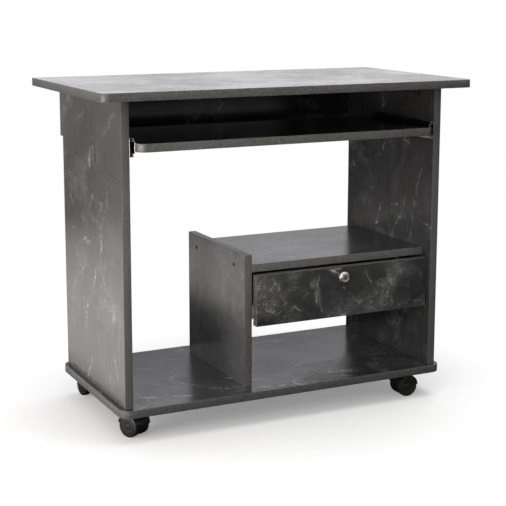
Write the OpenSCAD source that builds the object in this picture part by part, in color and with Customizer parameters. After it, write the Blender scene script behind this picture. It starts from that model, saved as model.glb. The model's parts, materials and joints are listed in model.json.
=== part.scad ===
// Computer desk with a pull-out keyboard tray, an open shelf, a locking drawer and four castors.
// Millimetres. +Z is up, -Y is the sitter's side, and the origin is on the floor under the middle
// of the desktop.

/* [Overall] */
// Width of the desktop, left to right
desk_w = 900; // [820:5:1100]
// Depth of the desktop, front to back
desk_d = 478; // [460:2:600]
// Height of the desktop's upper face above the floor
desk_h = 758; // [700:2:900]

/* [Boards] */
// Thickness of every structural board
board_t = 18; // [15:0.5:22]
// Thickness of the edge banding
band_t = 0.8; // [0.4:0.1:2]
// How far the desktop stands out past each side panel
top_side_lip = 56.5; // [20:0.5:70]
// How far the desktop stands out in front of the side panels
top_front_lip = 46; // [30:1:60]
// How far the desktop stands out behind the side panels
top_back_lip = 44.5; // [24:0.5:60]
// Radius of the desktop's two front corners
top_corner_r = 20; // [2:1:60]
// How far the bottom board stands out past each side panel
base_side_lip = 12; // [0:1:30]
// How far the bottom board stands out in front of the side panels
base_front_lip = 13.5; // [0:0.5:30]
// How far the bottom board stands out behind the side panels
base_back_lip = 8.5; // [0:0.5:30]
// Radius of the bottom board's four corners
base_corner_r = 25; // [2:1:60]
// Height of the modesty panel under the back of the desktop
modesty_h = 116; // [80:1:200]

/* [Partition and shelf] */
// Clear width between the partition and the right side panel
bay_w = 452; // [380:1:560]
// Height of the partition above the bottom board
partition_h = 302; // [290:1:420]
// Depth of the partition and of the shelf
partition_d = 313; // [300:1:420]
// Distance from the desktop's front edge back to the partition
partition_inset = 80; // [66:1:110]
// Height of the shelf's upper face above the bottom board
shelf_top = 280; // [260:1:400]

/* [Keyboard tray] */
// Clear height between the desktop and the tray
tray_drop = 91; // [60:1:140]
// Depth of the tray
tray_d = 300; // [260:1:380]
// Distance from the desktop's front edge back to the tray
tray_inset = 24; // [0:1:44]
// Radius of the tray's two front corners
tray_corner_r = 20; // [2:1:50]

/* [Tray slides] */
// Length of the outer and inner slide members
slide_l = 250; // [200:1:350]
// Height of the outer slide member
slide_h = 40; // [34:0.5:46]
// Space that a slide takes between the side panel and the tray
slide_gap = 12.7; // [12.5:0.1:14]
// Thickness of the slides' steel
slide_t = 1.2; // [1:0.1:1.4]
// Diameter of the bearing balls
ball_d = 5; // [4:0.1:5]
// Length of the ball cages
cage_l = 80; // [50:1:100]

/* [Drawer] */
// Height of the drawer front
drawer_front_h = 117; // [100:1:150]
// Gap between the shelf and the drawer front
drawer_top_gap = 4; // [2:0.5:8]
// Gap at each end of the drawer front
drawer_end_gap = 2; // [1:0.5:4]
// Gap between the drawer front and the partition's front edge
drawer_back_gap = 2; // [1:0.5:6]
// Height of the drawer's sides and back
drawer_side_h = 80; // [60:1:90]
// Thickness of the drawer's sides and back
drawer_side_t = 12; // [10:0.5:16]
// Length of the drawer's sides
drawer_side_l = 302; // [290:1:400]
// Thickness of the drawer's bottom
drawer_bottom_t = 3; // [2.5:0.5:6]

/* [Drawer runners] */
// Length of the runners' rails
rail_l = 300; // [250:1:350]
// Space that a runner takes at each side of the drawer
rail_gap = 12.7; // [12.5:0.1:14]
// Thickness of the rails' steel
rail_t = 1.2; // [1:0.1:1.4]
// Height of the cabinet rails
rail_h = 30; // [29:0.5:36]
// Height of the rails' underside above the drawer front's lower edge
rail_lift = 13; // [6:0.5:20]
// Diameter of the rollers
roller_d = 21; // [18:0.5:21]
// Width of the rollers
roller_w = 6; // [4:0.5:6]

/* [Lock] */
// Diameter of the lock's rosette
lock_flange_d = 26; // [20:0.5:30]
// Diameter of the lock's barrel
lock_barrel_d = 18; // [16:0.5:20]
// Distance that the lock stands out of the drawer front
lock_proud = 7; // [4:0.5:9]
// Diameter of the turning plug
plug_d = 13; // [10:0.5:14]
// Height of the lock's centre below the drawer front's upper edge
lock_drop = 25.4; // [18:0.2:28]
// Distance from the lock's centre to the small screw under it
lock_screw_drop = 25; // [18:1:40]
// Reach of the cam from the lock's centre
cam_reach = 36; // [33:0.5:38]

/* [Castors] */
// Height from the floor to the bottom board
castor_h = 60; // [58:1:80]
// Diameter of the wheels
wheel_d = 50; // [40:1:50]
// Width of one wheel
wheel_w = 15; // [12:0.5:18]
// Distance from the swivel axis to the wheels' axle
castor_trail = 17; // [14:0.5:20]
// Side of the square mounting plate
plate_w = 42; // [40:1:50]
// Hole spacing of the mounting plate
plate_holes = 32; // [28:1:36]
// Distance from a swivel axis to the bottom board's end
castor_inset_x = 58; // [48:1:80]
// Distance from a swivel axis to the bottom board's front or back edge
castor_inset_y = 48; // [40:1:80]
// Direction of the front left castor, from straight back
castor_turn_fl = 28; // [-180:1:180]
// Direction of the front right castor
castor_turn_fr = 88; // [-180:1:180]
// Direction of the back left castor
castor_turn_bl = 6; // [-180:1:180]
// Direction of the back right castor
castor_turn_br = 50; // [-180:1:180]

/* [Hidden] */
$fn = 64;
eps = 0.01;

// Fits
pin_clear = 0.05;      // radial clearance of a turning fit
seat_clear = 0.02;     // clearance of a fixed pin or screw in its hole
run_gap = 0.3;         // gap between rolling faces
band_gap = 0.1;        // gap between the ends of two bands

// Frame of the desk
panel_x = desk_w / 2 - top_side_lip;              // outer face of a side panel
inner_x = panel_x - board_t;                      // inner face of a side panel
front_y = -desk_d / 2;                            // desktop's front edge
panel_y0 = front_y + top_front_lip;
panel_y1 = desk_d / 2 - top_back_lip;
base_z0 = castor_h;
base_z1 = base_z0 + board_t;
top_z0 = desk_h - board_t;
base_x = panel_x + base_side_lip;
base_y0 = panel_y0 - base_front_lip;
base_y1 = panel_y1 + base_back_lip;

// Partition and shelf
part_x1 = inner_x - bay_w;
part_x0 = part_x1 - board_t;
part_y0 = front_y + partition_inset;
part_y1 = part_y0 + partition_d;
part_z1 = base_z1 + partition_h;
shelf_z1 = base_z1 + shelf_top;
shelf_z0 = shelf_z1 - board_t;

// Keyboard tray
tray_x = inner_x - slide_gap;
tray_y0 = front_y + tray_inset;
tray_z1 = top_z0 - tray_drop;
tray_z0 = tray_z1 - board_t;
slide_z = (tray_z0 + tray_z1) / 2;
slide_y0 = panel_y0;

// Slide profile, across the gap (u) and up from the slide's middle (v)
race_v = slide_h / 2 - slide_t;                   // inner face of the outer member's flanges
ball_v = race_v - run_gap - ball_d / 2;
inner_v = ball_v - ball_d / 2 - run_gap;          // outer face of the inner member's flanges
ball_u = 5;
lip_u = 9.5;                                      // depth of the outer member
lip_v = inner_v + 1;                              // end of the outer member's turned lips
cage_t = 0.6;
cage_drop = 1.5;                                  // cage arm below the balls' middles
cage_hole_r = sqrt(pow(ball_d / 2, 2) - pow(cage_drop, 2)) + 0.12;
cage_u = slide_t + 1.2;
cage_arm = 5.6;
inner_u = 4.2;
ball_count = 8;
cage_y0 = slide_y0 + (slide_l - cage_l) / 2;

// Drawer
drawer_x0 = part_x1 + drawer_end_gap;
drawer_x1 = inner_x - drawer_end_gap;
drawer_y1 = part_y0 - drawer_back_gap;            // back face of the drawer front
drawer_y0 = drawer_y1 - board_t;
drawer_z1 = shelf_z0 - drawer_top_gap;
drawer_z0 = drawer_z1 - drawer_front_h;
box_x0 = part_x1 + rail_gap;
box_x1 = inner_x - rail_gap;
box_y1 = drawer_y1 + drawer_side_l;
groove_depth = 6;
groove_lift = 6;                                  // drawer bottom above the sides' lower edge

// Runner profile, from the rails' underside
rail_z = drawer_z0 + rail_lift;
rail_y0 = part_y0 + 2;
drawer_rail_y0 = drawer_y1 + 1;
rail_leg_z = 3.6;                                 // underside of the drawer rail
rail_top_z = rail_h - 3;                          // top of the drawer rail
box_z0 = rail_z + rail_leg_z + rail_t;
front_roller_z = rail_z + rail_top_z - rail_t - run_gap - roller_d / 2;
rear_roller_z = rail_z + rail_t + run_gap + roller_d / 2;
front_roller_y = rail_y0 + 15;
rear_roller_y = drawer_rail_y0 + rail_l - 14;
front_roller_u = 3.6;
rear_roller_u = 3;
roller_pin_r = 2.5;
rail_floor_w = 10.5;                              // cabinet rail's floor
rail_lip_t = 1;                                   // lips that keep the rollers on their tracks
rail_lip_h = 2.3;
drawer_rail_u = 2;                                // free edge of the drawer rail's top

// Lock
lock_x = (drawer_x0 + drawer_x1) / 2;
lock_z = drawer_z1 - lock_drop;
barrel_l = board_t + 13;
plug_tail = 4;
tail_w = 7;
cam_t = 2;
cam_w = 12;
keyway = [1.6, 8, 14];
mortise_side = 30;                                // slot in the shelf that the cam swings through
mortise_h = cam_reach + lock_z - shelf_z0 + 2;
cam_y = drawer_y0 + barrel_l + 1;
mortise_gap = 2.5;

// Castors
wheel_r = wheel_d / 2;
web_half = 7.5;                                   // half the thickness of the hood's middle web
wheel_s0 = web_half + 1;                          // inner face of a wheel along the axle
wheel_s1 = wheel_s0 + wheel_w;
kingpin_r = 4;
kingpin_l = 21;
axle_r = 3;
plate_t = 2;
hood_gap = 1;                                     // between the hood's top and the plate
fender_r = wheel_r + 1.5;
fender_t = 2;
hood_collar_r = wheel_r - 2.5;                    // collar round the axle, proud of the web
hood_collar_half = web_half + 0.4;
hood_boss_r = 6.8;                                // post around the kingpin
hood_cap_r = 12;                                  // disc at the top of the post
hood_cap_t = 2.4;
hood_a0 = 20;                                     // where the fender and the web start, and
fender_arc = 150;                                 // how far round the axle they reach
web_arc = 175;
castor_x = base_x - castor_inset_x;
castor_y0 = base_y0 + castor_inset_y;
castor_y1 = base_y1 - castor_inset_y;

// Fasteners
confirmat_r = 3.2;
confirmat_head_r = 5;
confirmat_head_h = 3;
confirmat_l = 50;
screw_r = 1.75;
screw_head_r = 3.4;
screw_head_h = 0.9;
screw_l = 15;
dowel_r = 4;
dowel_l = 24;
bracket_w = 18;
bracket_leg = 25;
bracket_t = 2;
bracket_ys = [panel_y0 + 73, panel_y1 - 73];
base_screw_ys = [panel_y0 + 54, panel_y1 - 54];
part_screw_ys = [part_y0 + 50, part_y1 - 50];
shelf_screw_ys = [part_y0 + 57, part_y1 - 48];
modesty_screw_zs = [top_z0 - modesty_h + 26, top_z0 - 26];
slide_screw_ys = [slide_y0 + 36, slide_y0 + slide_l - 36];
rail_screw_ys = [rail_y0 + 60, rail_y0 + rail_l - 40];
box_rail_screw_ys = [drawer_rail_y0 + 40, drawer_rail_y0 + rail_l - 60];

charcoal = [0.22, 0.22, 0.23];
banding = [0.33, 0.33, 0.32];
steel = [0.72, 0.73, 0.75];
zinc = [0.45, 0.46, 0.48];
slide_black = [0.15, 0.15, 0.15];
enamel = [0.85, 0.85, 0.83];
black = [0.06, 0.06, 0.06];

// ---- Shared shapes -------------------------------------------------------------------------

// Plan of a board with its own radius at each front and back pair of corners
module plan(x0, x1, y0, y1, r_front, r_back) {
  difference() {
    translate([x0, y0]) square([x1 - x0, y1 - y0]);
    for (c = [[x0, y0, 1, 1, r_front], [x1, y0, -1, 1, r_front],
              [x0, y1, 1, -1, r_back], [x1, y1, -1, -1, r_back]])
      if (c[4] > 0) corner_waste(c[0], c[1], c[2], c[3], c[4]);
  }
}

// What is cut away outside a rounded corner at (x, y), whose board lies towards (sx, sy)
module corner_waste(x, y, sx, sy, r) {
  translate([x, y]) mirror([sx < 0 ? 1 : 0, 0]) mirror([0, sy < 0 ? 1 : 0]) difference() {
    translate([-1, -1]) square(r + 1);
    translate([r, r]) circle(r);
  }
}

// Box between two corners
module block(a, b) {
  translate(a) cube(b - a);
}

// Board core and its banding: the faces named by lo and hi (1 or 0 per axis) carry a band
module core(a, b, lo, hi) {
  block(a + band_t * lo, b - band_t * hi);
}

module band(a, b, lo, hi) {
  difference() {
    block(a, b);
    core(a - eps * ([1, 1, 1] - lo), b + eps * ([1, 1, 1] - hi), lo, hi);
  }
}

// Banding around a board with a rounded plan
module plan_band(x0, x1, y0, y1, z0, z1, r_front, r_back) {
  translate([0, 0, z0]) linear_extrude(z1 - z0) difference() {
    plan(x0, x1, y0, y1, r_front, r_back);
    inset_plan(x0, x1, y0, y1, r_front, r_back);
  }
}

module inset_plan(x0, x1, y0, y1, r_front, r_back) {
  plan(x0 + band_t, x1 - band_t, y0 + band_t, y1 - band_t,
       max(r_front - band_t, 0), max(r_back - band_t, 0));
}

// Profile drawn across (x) and up (z), carried along Y from y0
module along_y(y0, len) {
  translate([0, y0 + len, 0]) rotate([90, 0, 0]) linear_extrude(len) children();
}

// Mirror-image places: a slide or rail is drawn with x running away from the board it is fixed to
module at_left_panel() { translate([-inner_x, 0, 0]) children(); }
module at_right_panel() { translate([inner_x, 0, 0]) mirror([1, 0, 0]) children(); }
module at_partition() { translate([part_x1, 0, 0]) children(); }

// Pin along +X from x0 to x1
module x_pin(r, x0, x1, y, z) {
  translate([x0, y, z]) rotate([0, 90, 0]) cylinder(r = r, h = x1 - x0);
}

// Confirmat screw with its head at the origin, driven along +Z. grow widens it into its hole
module confirmat(grow = 0) {
  cylinder(r = confirmat_head_r + grow, h = confirmat_head_h);
  cylinder(r = confirmat_r + grow, h = confirmat_l + grow);
}

// Wood screw with its head's underside at the origin, driven along +Z
module wood_screw(grow = 0, len = screw_l) {
  translate([0, 0, -screw_head_h]) cylinder(r = screw_head_r + grow, h = screw_head_h + eps);
  cylinder(r = screw_r + grow, h = len + grow);
}

// ---- Where the screws go -------------------------------------------------------------------

module base_confirmats(grow = 0) {
  for (s = [-1, 1], y = base_screw_ys)
    translate([s * (panel_x - board_t / 2), y, base_z0]) confirmat(grow);
  for (y = part_screw_ys)
    translate([(part_x0 + part_x1) / 2, y, base_z0]) confirmat(grow);
}

module shelf_confirmats(grow = 0) {
  z = (shelf_z0 + shelf_z1) / 2;
  for (y = shelf_screw_ys) {
    translate([part_x0, y, z]) rotate([0, 90, 0]) confirmat(grow);
    translate([panel_x, y, z]) rotate([0, -90, 0]) confirmat(grow);
  }
}

module modesty_confirmats(grow = 0) {
  for (s = [-1, 1], z = modesty_screw_zs)
    translate([s * (panel_x - board_t / 2), panel_y1 + board_t, z]) rotate([90, 0, 0])
      confirmat(grow);
}

module bracket_screws(grow = 0) {
  for (s = [-1, 1], y = bracket_ys) {
    translate([s * (inner_x - bracket_t), y, top_z0 - bracket_leg * 0.6])
      rotate([0, s * 90, 0]) wood_screw(grow);
    translate([s * (inner_x - bracket_leg * 0.6), y, top_z0 - bracket_t]) wood_screw(grow);
  }
}

module slide_screws(grow = 0) {
  for (s = [-1, 1], y = slide_screw_ys)
    translate([s * (inner_x - slide_t), y, slide_z]) rotate([0, s * 90, 0]) wood_screw(grow);
}

module rail_screws(grow = 0) {
  z = rail_z + rail_h * 0.4;
  for (y = rail_screw_ys) {
    translate([inner_x - rail_t, y, z]) rotate([0, 90, 0]) wood_screw(grow);
    translate([part_x1 + rail_t, y, z]) rotate([0, -90, 0]) wood_screw(grow);
  }
}

module castor_screws(grow = 0) {
  for (sx = [-1, 1], y = [castor_y0, castor_y1], dx = [-1, 1], dy = [-1, 1])
    translate([sx * castor_x + dx * plate_holes / 2, y + dy * plate_holes / 2, base_z0 - plate_t])
      wood_screw(grow);
}

module tray_slide_screws(grow = 0) {
  for (s = [-1, 1], y = slide_screw_ys)
    translate([s * (tray_x + slide_t), y, slide_z]) rotate([0, -s * 90, 0]) wood_screw(grow);
}

module box_rail_screws(grow = 0) {
  z = box_z0 + groove_lift + drawer_bottom_t + screw_r + 2;
  for (y = box_rail_screw_ys) {
    translate([box_x0 - rail_t, y, z]) rotate([0, 90, 0])
      wood_screw(grow, drawer_side_t - 1);
    translate([box_x1 + rail_t, y, z]) rotate([0, -90, 0])
      wood_screw(grow, drawer_side_t - 1);
  }
}

module box_back_screws(grow = 0) {
  for (z = [box_z0 + 18, box_z0 + drawer_side_h - 18]) {
    translate([box_x0 + screw_head_h, box_y1 - drawer_side_t / 2, z]) rotate([0, 90, 0])
      wood_screw(grow, 30);
    translate([box_x1 - screw_head_h, box_y1 - drawer_side_t / 2, z]) rotate([0, -90, 0])
      wood_screw(grow, 30);
  }
}

module lock_face_screw(grow = 0) {
  translate([lock_x, drawer_y0, lock_z - lock_screw_drop]) rotate([-90, 0, 0])
    wood_screw(grow, board_t - 4);
}

module front_dowels(grow = 0) {
  for (x = [box_x0 + drawer_side_t / 2, box_x1 - drawer_side_t / 2],
       z = [box_z0 + 22, box_z0 + drawer_side_h - 16])
    translate([x, drawer_y1 - dowel_l / 2 - grow, z]) rotate([-90, 0, 0])
      cylinder(r = dowel_r + grow, h = dowel_l + 2 * grow);
}

// ---- Boards --------------------------------------------------------------------------------

module desktop() {
  color(charcoal) difference() {
    translate([0, 0, top_z0]) linear_extrude(board_t)
      inset_plan(-desk_w / 2, desk_w / 2, front_y, -front_y, top_corner_r, 0);
    bracket_screws(seat_clear);
  }
}

module side_panel(s) {
  lo = [min(s * inner_x, s * panel_x), panel_y0, base_z1];
  hi = [max(s * inner_x, s * panel_x), panel_y1, top_z0];
  color(charcoal) difference() {
    core(lo, hi, [0, 1, 0], [0, 1, 0]);
    base_confirmats(seat_clear);
    modesty_confirmats(seat_clear);
    bracket_screws(seat_clear);
    slide_screws(seat_clear);
    if (s > 0) {
      shelf_confirmats(seat_clear);
      rail_screws(seat_clear);
    }
  }
}

module side_bands() {
  for (s = [-1, 1])
    band([min(s * inner_x, s * panel_x), panel_y0, base_z1 + band_gap],
         [max(s * inner_x, s * panel_x), panel_y1, top_z0 - band_gap], [0, 1, 0], [0, 1, 0]);
}

modesty_lo = [-panel_x, panel_y1, top_z0 - modesty_h];
modesty_hi = [panel_x, panel_y1 + board_t, top_z0];

module modesty_panel() {
  color(charcoal) difference() {
    core(modesty_lo, modesty_hi, [1, 0, 1], [1, 0, 0]);
    modesty_confirmats(seat_clear);
  }
}

module bottom_board() {
  color(charcoal) difference() {
    translate([0, 0, base_z0]) linear_extrude(board_t)
      inset_plan(-base_x, base_x, base_y0, base_y1, base_corner_r, base_corner_r);
    base_confirmats(seat_clear);
    castor_screws(seat_clear);
  }
}

partition_lo = [part_x0, part_y0, base_z1];
partition_hi = [part_x1, part_y1, part_z1];

module partition() {
  color(charcoal) difference() {
    core(partition_lo, partition_hi, [0, 1, 0], [0, 1, 1]);
    base_confirmats(seat_clear);
    shelf_confirmats(seat_clear);
    rail_screws(seat_clear);
  }
}

shelf_lo = [part_x1, part_y0, shelf_z0];
shelf_hi = [inner_x, part_y1, shelf_z1];

module shelf() {
  color(charcoal) difference() {
    core(shelf_lo, shelf_hi, [0, 1, 0], [0, 1, 0]);
    shelf_confirmats(seat_clear);
    translate([lock_x - cam_w / 2 - mortise_gap, cam_y - mortise_gap, shelf_z0 - 1])
      cube([mortise_side + cam_w / 2, cam_t + 2 * mortise_gap, mortise_h + 1]);
  }
}

module frame_edge_bands() {
  color(banding) difference() {
    frame_bands();
    modesty_confirmats(seat_clear);
  }
}

module frame_bands() {
  plan_band(-desk_w / 2, desk_w / 2, front_y, -front_y, top_z0, desk_h, top_corner_r, 0);
  plan_band(-base_x, base_x, base_y0, base_y1, base_z0, base_z1, base_corner_r,
            base_corner_r);
  side_bands();
  band(modesty_lo + [0, band_gap, 0], modesty_hi - [0, 0, band_gap], [1, 0, 1], [1, 0, 0]);
  band(partition_lo + [0, 0, band_gap], partition_hi, [0, 1, 0], [0, 1, 1]);
  band(shelf_lo + [band_gap, 0, 0], shelf_hi - [band_gap, 0, 0], [0, 1, 0], [0, 1, 0]);
}

// ---- Keyboard tray and its slides ----------------------------------------------------------

module keyboard_tray() {
  color(charcoal) difference() {
    translate([0, 0, tray_z0]) linear_extrude(board_t)
      inset_plan(-tray_x, tray_x, tray_y0, tray_y0 + tray_d, tray_corner_r, 0);
    tray_slide_screws(seat_clear);
  }
}

module tray_edge_band() {
  color(banding) difference() {
    plan_band(-tray_x, tray_x, tray_y0, tray_y0 + tray_d, tray_z0, tray_z1, tray_corner_r, 0);
    tray_slide_screws(seat_clear);
  }
}

// Outer member: a C whose flanges turn in over the balls
module slide_outer() {
  along_y(slide_y0, slide_l) translate([0, slide_z]) difference() {
    translate([0, -slide_h / 2]) square([lip_u, slide_h]);
    translate([slide_t, -race_v]) square([lip_u - 2 * slide_t, 2 * race_v]);
    translate([lip_u / 2, -lip_v]) square([lip_u, 2 * lip_v]);
  }
}

// Inner member: a C that faces the outer one
module slide_inner() {
  web_v = inner_v - slide_t;
  along_y(slide_y0, slide_l) translate([0, slide_z]) difference() {
    translate([inner_u, -inner_v]) square([slide_gap - inner_u, 2 * inner_v]);
    translate([inner_u - 1, -web_v]) square([slide_gap - inner_u - slide_t + 1, 2 * web_v]);
  }
}

function ball_y(i) = cage_y0 + cage_l * (i + 0.5) / ball_count;

// Ball cage: a C whose two arms pass under the balls, which sink part way into their holes
module slide_cage() {
  arm_v = ball_v - cage_drop;
  difference() {
    along_y(cage_y0, cage_l) translate([0, slide_z]) difference() {
      translate([cage_u, -arm_v]) square([cage_arm, 2 * arm_v]);
      translate([cage_u + cage_t, -arm_v + cage_t]) square([cage_arm, 2 * (arm_v - cage_t)]);
    }
    for (i = [0:ball_count - 1], s = [-1, 1])
      translate([ball_u, ball_y(i), slide_z + s * (arm_v - 1) - 2])
        cylinder(r = cage_hole_r, h = 4);
  }
}

module cage(s) {
  color(steel) at_side(s) slide_cage();
}

module cage_balls() {
  for (i = [0:ball_count - 1], s = [-1, 1])
    translate([ball_u, ball_y(i), slide_z + s * ball_v]) sphere(r = ball_d / 2, $fn = 24);
}

module at_side(s) {
  if (s < 0) at_left_panel() children();
  else at_right_panel() children();
}

module outer_member(s) {
  color(slide_black) difference() {
    at_side(s) slide_outer();
    slide_screws(seat_clear);
  }
}

module inner_member(s) {
  color(slide_black) difference() {
    at_side(s) slide_inner();
    tray_slide_screws(seat_clear);
  }
}

module slide_balls() {
  color(steel) for (s = [-1, 1]) at_side(s) cage_balls();
}

// ---- Drawer --------------------------------------------------------------------------------

drawer_front_lo = [drawer_x0, drawer_y0, drawer_z0];
drawer_front_hi = [drawer_x1, drawer_y1, drawer_z1];

module drawer_front() {
  color(charcoal) difference() {
    core(drawer_front_lo, drawer_front_hi, [1, 0, 1], [1, 0, 1]);
    lock_place() translate([0, 0, -board_t - 1])
      cylinder(r = lock_barrel_d / 2 + seat_clear, h = board_t + 2);
    lock_face_screw(seat_clear);
    front_dowels(seat_clear);
    drawer_groove();
  }
}

module drawer_front_edge_band() {
  color(banding) band(drawer_front_lo, drawer_front_hi, [1, 0, 1], [1, 0, 1]);
}

// Groove that holds the drawer's bottom
module drawer_groove() {
  block([box_x0 + drawer_side_t - groove_depth, drawer_y1 - groove_depth,
         box_z0 + groove_lift],
        [box_x1 - drawer_side_t + groove_depth, box_y1 - drawer_side_t + groove_depth,
         box_z0 + groove_lift + drawer_bottom_t]);
}

module drawer_side(s) {
  x0 = s < 0 ? box_x0 : box_x1 - drawer_side_t;
  color(black) difference() {
    block([x0, drawer_y1, box_z0], [x0 + drawer_side_t, box_y1, box_z0 + drawer_side_h]);
    drawer_groove();
    box_rail_screws(seat_clear);
    box_back_screws(seat_clear);
    front_dowels(seat_clear);
  }
}

module drawer_back() {
  color(black) difference() {
    block([box_x0 + drawer_side_t, box_y1 - drawer_side_t, box_z0],
          [box_x1 - drawer_side_t, box_y1, box_z0 + drawer_side_h]);
    drawer_groove();
    box_back_screws(seat_clear);
  }
}

module drawer_bottom() {
  color(black)
    block([box_x0 + drawer_side_t - groove_depth, drawer_y1 - groove_depth,
           box_z0 + groove_lift],
          [box_x1 - drawer_side_t + groove_depth, box_y1 - drawer_side_t + groove_depth,
           box_z0 + groove_lift + drawer_bottom_t]);
}

module drawer_dowels() {
  color("tan") front_dowels();
}

// ---- Drawer runners ------------------------------------------------------------------------

// Cabinet rail: a web on the board and a floor with a small lip for the rear roller
module cabinet_rail() {
  difference() {
    along_y(rail_y0, rail_l) translate([0, rail_z]) {
      square([rail_t, rail_h]);
      square([rail_floor_w, rail_t]);
      translate([rail_floor_w - rail_lip_t, 0]) square([rail_lip_t, rail_t + rail_lip_h]);
    }
    x_pin(roller_pin_r + seat_clear, -1, rail_t + 1, front_roller_y, front_roller_z);
  }
}

// Drawer rail: a foot under the drawer's side, a web beside it, and a top that rides the roller
module drawer_rail() {
  difference() {
    along_y(drawer_rail_y0, rail_l) translate([0, rail_z]) {
      translate([rail_gap - rail_t, rail_leg_z]) square([rail_t, rail_top_z - rail_leg_z]);
      translate([rail_gap - rail_t, rail_leg_z]) square([drawer_side_t + rail_t, rail_t]);
      translate([drawer_rail_u, rail_top_z - rail_t])
        square([rail_gap - drawer_rail_u, rail_t]);
      translate([drawer_rail_u, rail_top_z - rail_t - rail_lip_h])
        square([rail_lip_t, rail_t + rail_lip_h]);
    }
    x_pin(roller_pin_r + seat_clear, rail_gap - rail_t - 1, rail_gap + 1,
          rear_roller_y, rear_roller_z);
  }
}

module at_rail(s) {
  if (s < 0) at_partition() children();
  else at_right_panel() children();
}

module fixed_rail(s) {
  color(enamel) difference() {
    at_rail(s) cabinet_rail();
    rail_screws(seat_clear);
  }
}

module moving_rail(s) {
  color(enamel) difference() {
    at_rail(s) drawer_rail();
    box_rail_screws(seat_clear);
  }
}

module roller(u, y, z) {
  difference() {
    x_pin(roller_d / 2, u, u + roller_w, y, z);
    x_pin(roller_pin_r + pin_clear, u - 1, u + roller_w + 1, y, z);
  }
}

module front_rollers() {
  color("white") for (s = [-1, 1])
    at_rail(s) roller(front_roller_u, front_roller_y, front_roller_z);
}

module rear_rollers() {
  color("white") for (s = [-1, 1])
    at_rail(s) roller(rear_roller_u, rear_roller_y, rear_roller_z);
}

module front_roller_pins() {
  color(steel) for (s = [-1, 1])
    at_rail(s) x_pin(roller_pin_r, 0, front_roller_u + roller_w + 0.6, front_roller_y,
                     front_roller_z);
}

module rear_roller_pins() {
  color(steel) for (s = [-1, 1])
    at_rail(s) x_pin(roller_pin_r, rear_roller_u - 0.6, rail_gap, rear_roller_y,
                     rear_roller_z);
}

// ---- Lock ----------------------------------------------------------------------------------

// Lock frame: +Z points out of the drawer front, which is at 0
module lock_place() {
  translate([lock_x, drawer_y0, lock_z]) rotate([90, 0, 0]) children();
}

module lock_housing() {
  flange_r = lock_flange_d / 2;
  barrel_r = lock_barrel_d / 2;
  bore_r = plug_d / 2 + pin_clear;
  color(steel) lock_place() rotate_extrude()
    polygon([[bore_r, -barrel_l], [barrel_r, -barrel_l], [barrel_r, 0], [flange_r, 0],
             [flange_r, 1.4], [flange_r - 0.8, 2], [barrel_r + 1.4, 2.4],
             [barrel_r + 0.8, lock_proud - 0.8], [barrel_r, lock_proud],
             [bore_r, lock_proud]]);
}

module lock_plug() {
  color(steel) lock_place() difference() {
    union() {
      translate([0, 0, -barrel_l - 0.2]) cylinder(r = plug_d / 2, h = barrel_l + lock_proud);
      translate([-tail_w / 2, -tail_w / 2, -barrel_l - plug_tail])
        cube([tail_w, tail_w, plug_tail]);
    }
    translate([-keyway[0] / 2, -keyway[1] / 2, lock_proud - keyway[2]])
      cube(keyway + [0, 0, 1]);
  }
}

// Cam, lying to the right while the lock is open
module lock_cam() {
  color(zinc) lock_place() translate([0, 0, -barrel_l - 1 - cam_t]) difference() {
    union() {
      cylinder(r = cam_w / 2, h = cam_t);
      translate([0, -cam_w / 2, 0]) cube([cam_reach, cam_w, cam_t]);
    }
    translate([-tail_w / 2 - seat_clear, -tail_w / 2 - seat_clear, -1])
      cube([tail_w + 2 * seat_clear, tail_w + 2 * seat_clear, cam_t + 2]);
  }
}

// ---- Castors -------------------------------------------------------------------------------

// Corner of the desk: sx is -1 on the left, and y is the swivel axis
module at_castor(sx, y, turn = 0) {
  translate([sx * castor_x, y, 0]) rotate([0, 0, turn]) children();
}

// Axle frame: +X points away from the swivel axis, +Z runs along the axle
module at_axle() {
  translate([0, castor_trail, wheel_r]) rotate([90, 0, 90]) children();
}

module castor_plate(sx, y) {
  color(zinc) difference() {
    at_castor(sx, y) {
      translate([-plate_w / 2, -plate_w / 2, base_z0 - plate_t])
        cube([plate_w, plate_w, plate_t]);
      translate([0, 0, base_z0 - kingpin_l]) cylinder(r = kingpin_r, h = kingpin_l - 0.5);
    }
    castor_screws(seat_clear);
  }
}

module castor_hood(sx, y, turn) {
  boss_z0 = base_z0 - kingpin_l - 6;
  hood_z1 = base_z0 - plate_t - hood_gap;
  color(black) at_castor(sx, y, turn) difference() {
    union() {
      translate([0, 0, boss_z0]) cylinder(r = hood_boss_r, h = hood_z1 - boss_z0);
      translate([0, 0, hood_z1 - hood_cap_t]) cylinder(r = hood_cap_r, h = hood_cap_t);
      at_axle() {
        translate([0, 0, -hood_collar_half])
          cylinder(r = hood_collar_r, h = 2 * hood_collar_half);
        rotate([0, 0, hood_a0]) {
          rotate_extrude(angle = web_arc)
            translate([1, -web_half]) square([fender_r + fender_t / 2 - 1, 2 * web_half]);
          rotate_extrude(angle = fender_arc)
            translate([fender_r, -wheel_s1]) square([fender_t, 2 * wheel_s1]);
        }
      }
    }
    translate([0, 0, base_z0 - kingpin_l - 1])
      cylinder(r = kingpin_r + pin_clear, h = kingpin_l + 2);
    at_axle() translate([0, 0, -wheel_s1]) cylinder(r = axle_r + seat_clear, h = 2 * wheel_s1);
  }
}

module castor_axle(sx, y, turn) {
  half = wheel_s1 - 3.5;
  color(steel) at_castor(sx, y, turn) at_axle() translate([0, 0, -half])
    cylinder(r = axle_r, h = 2 * half);
}

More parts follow.
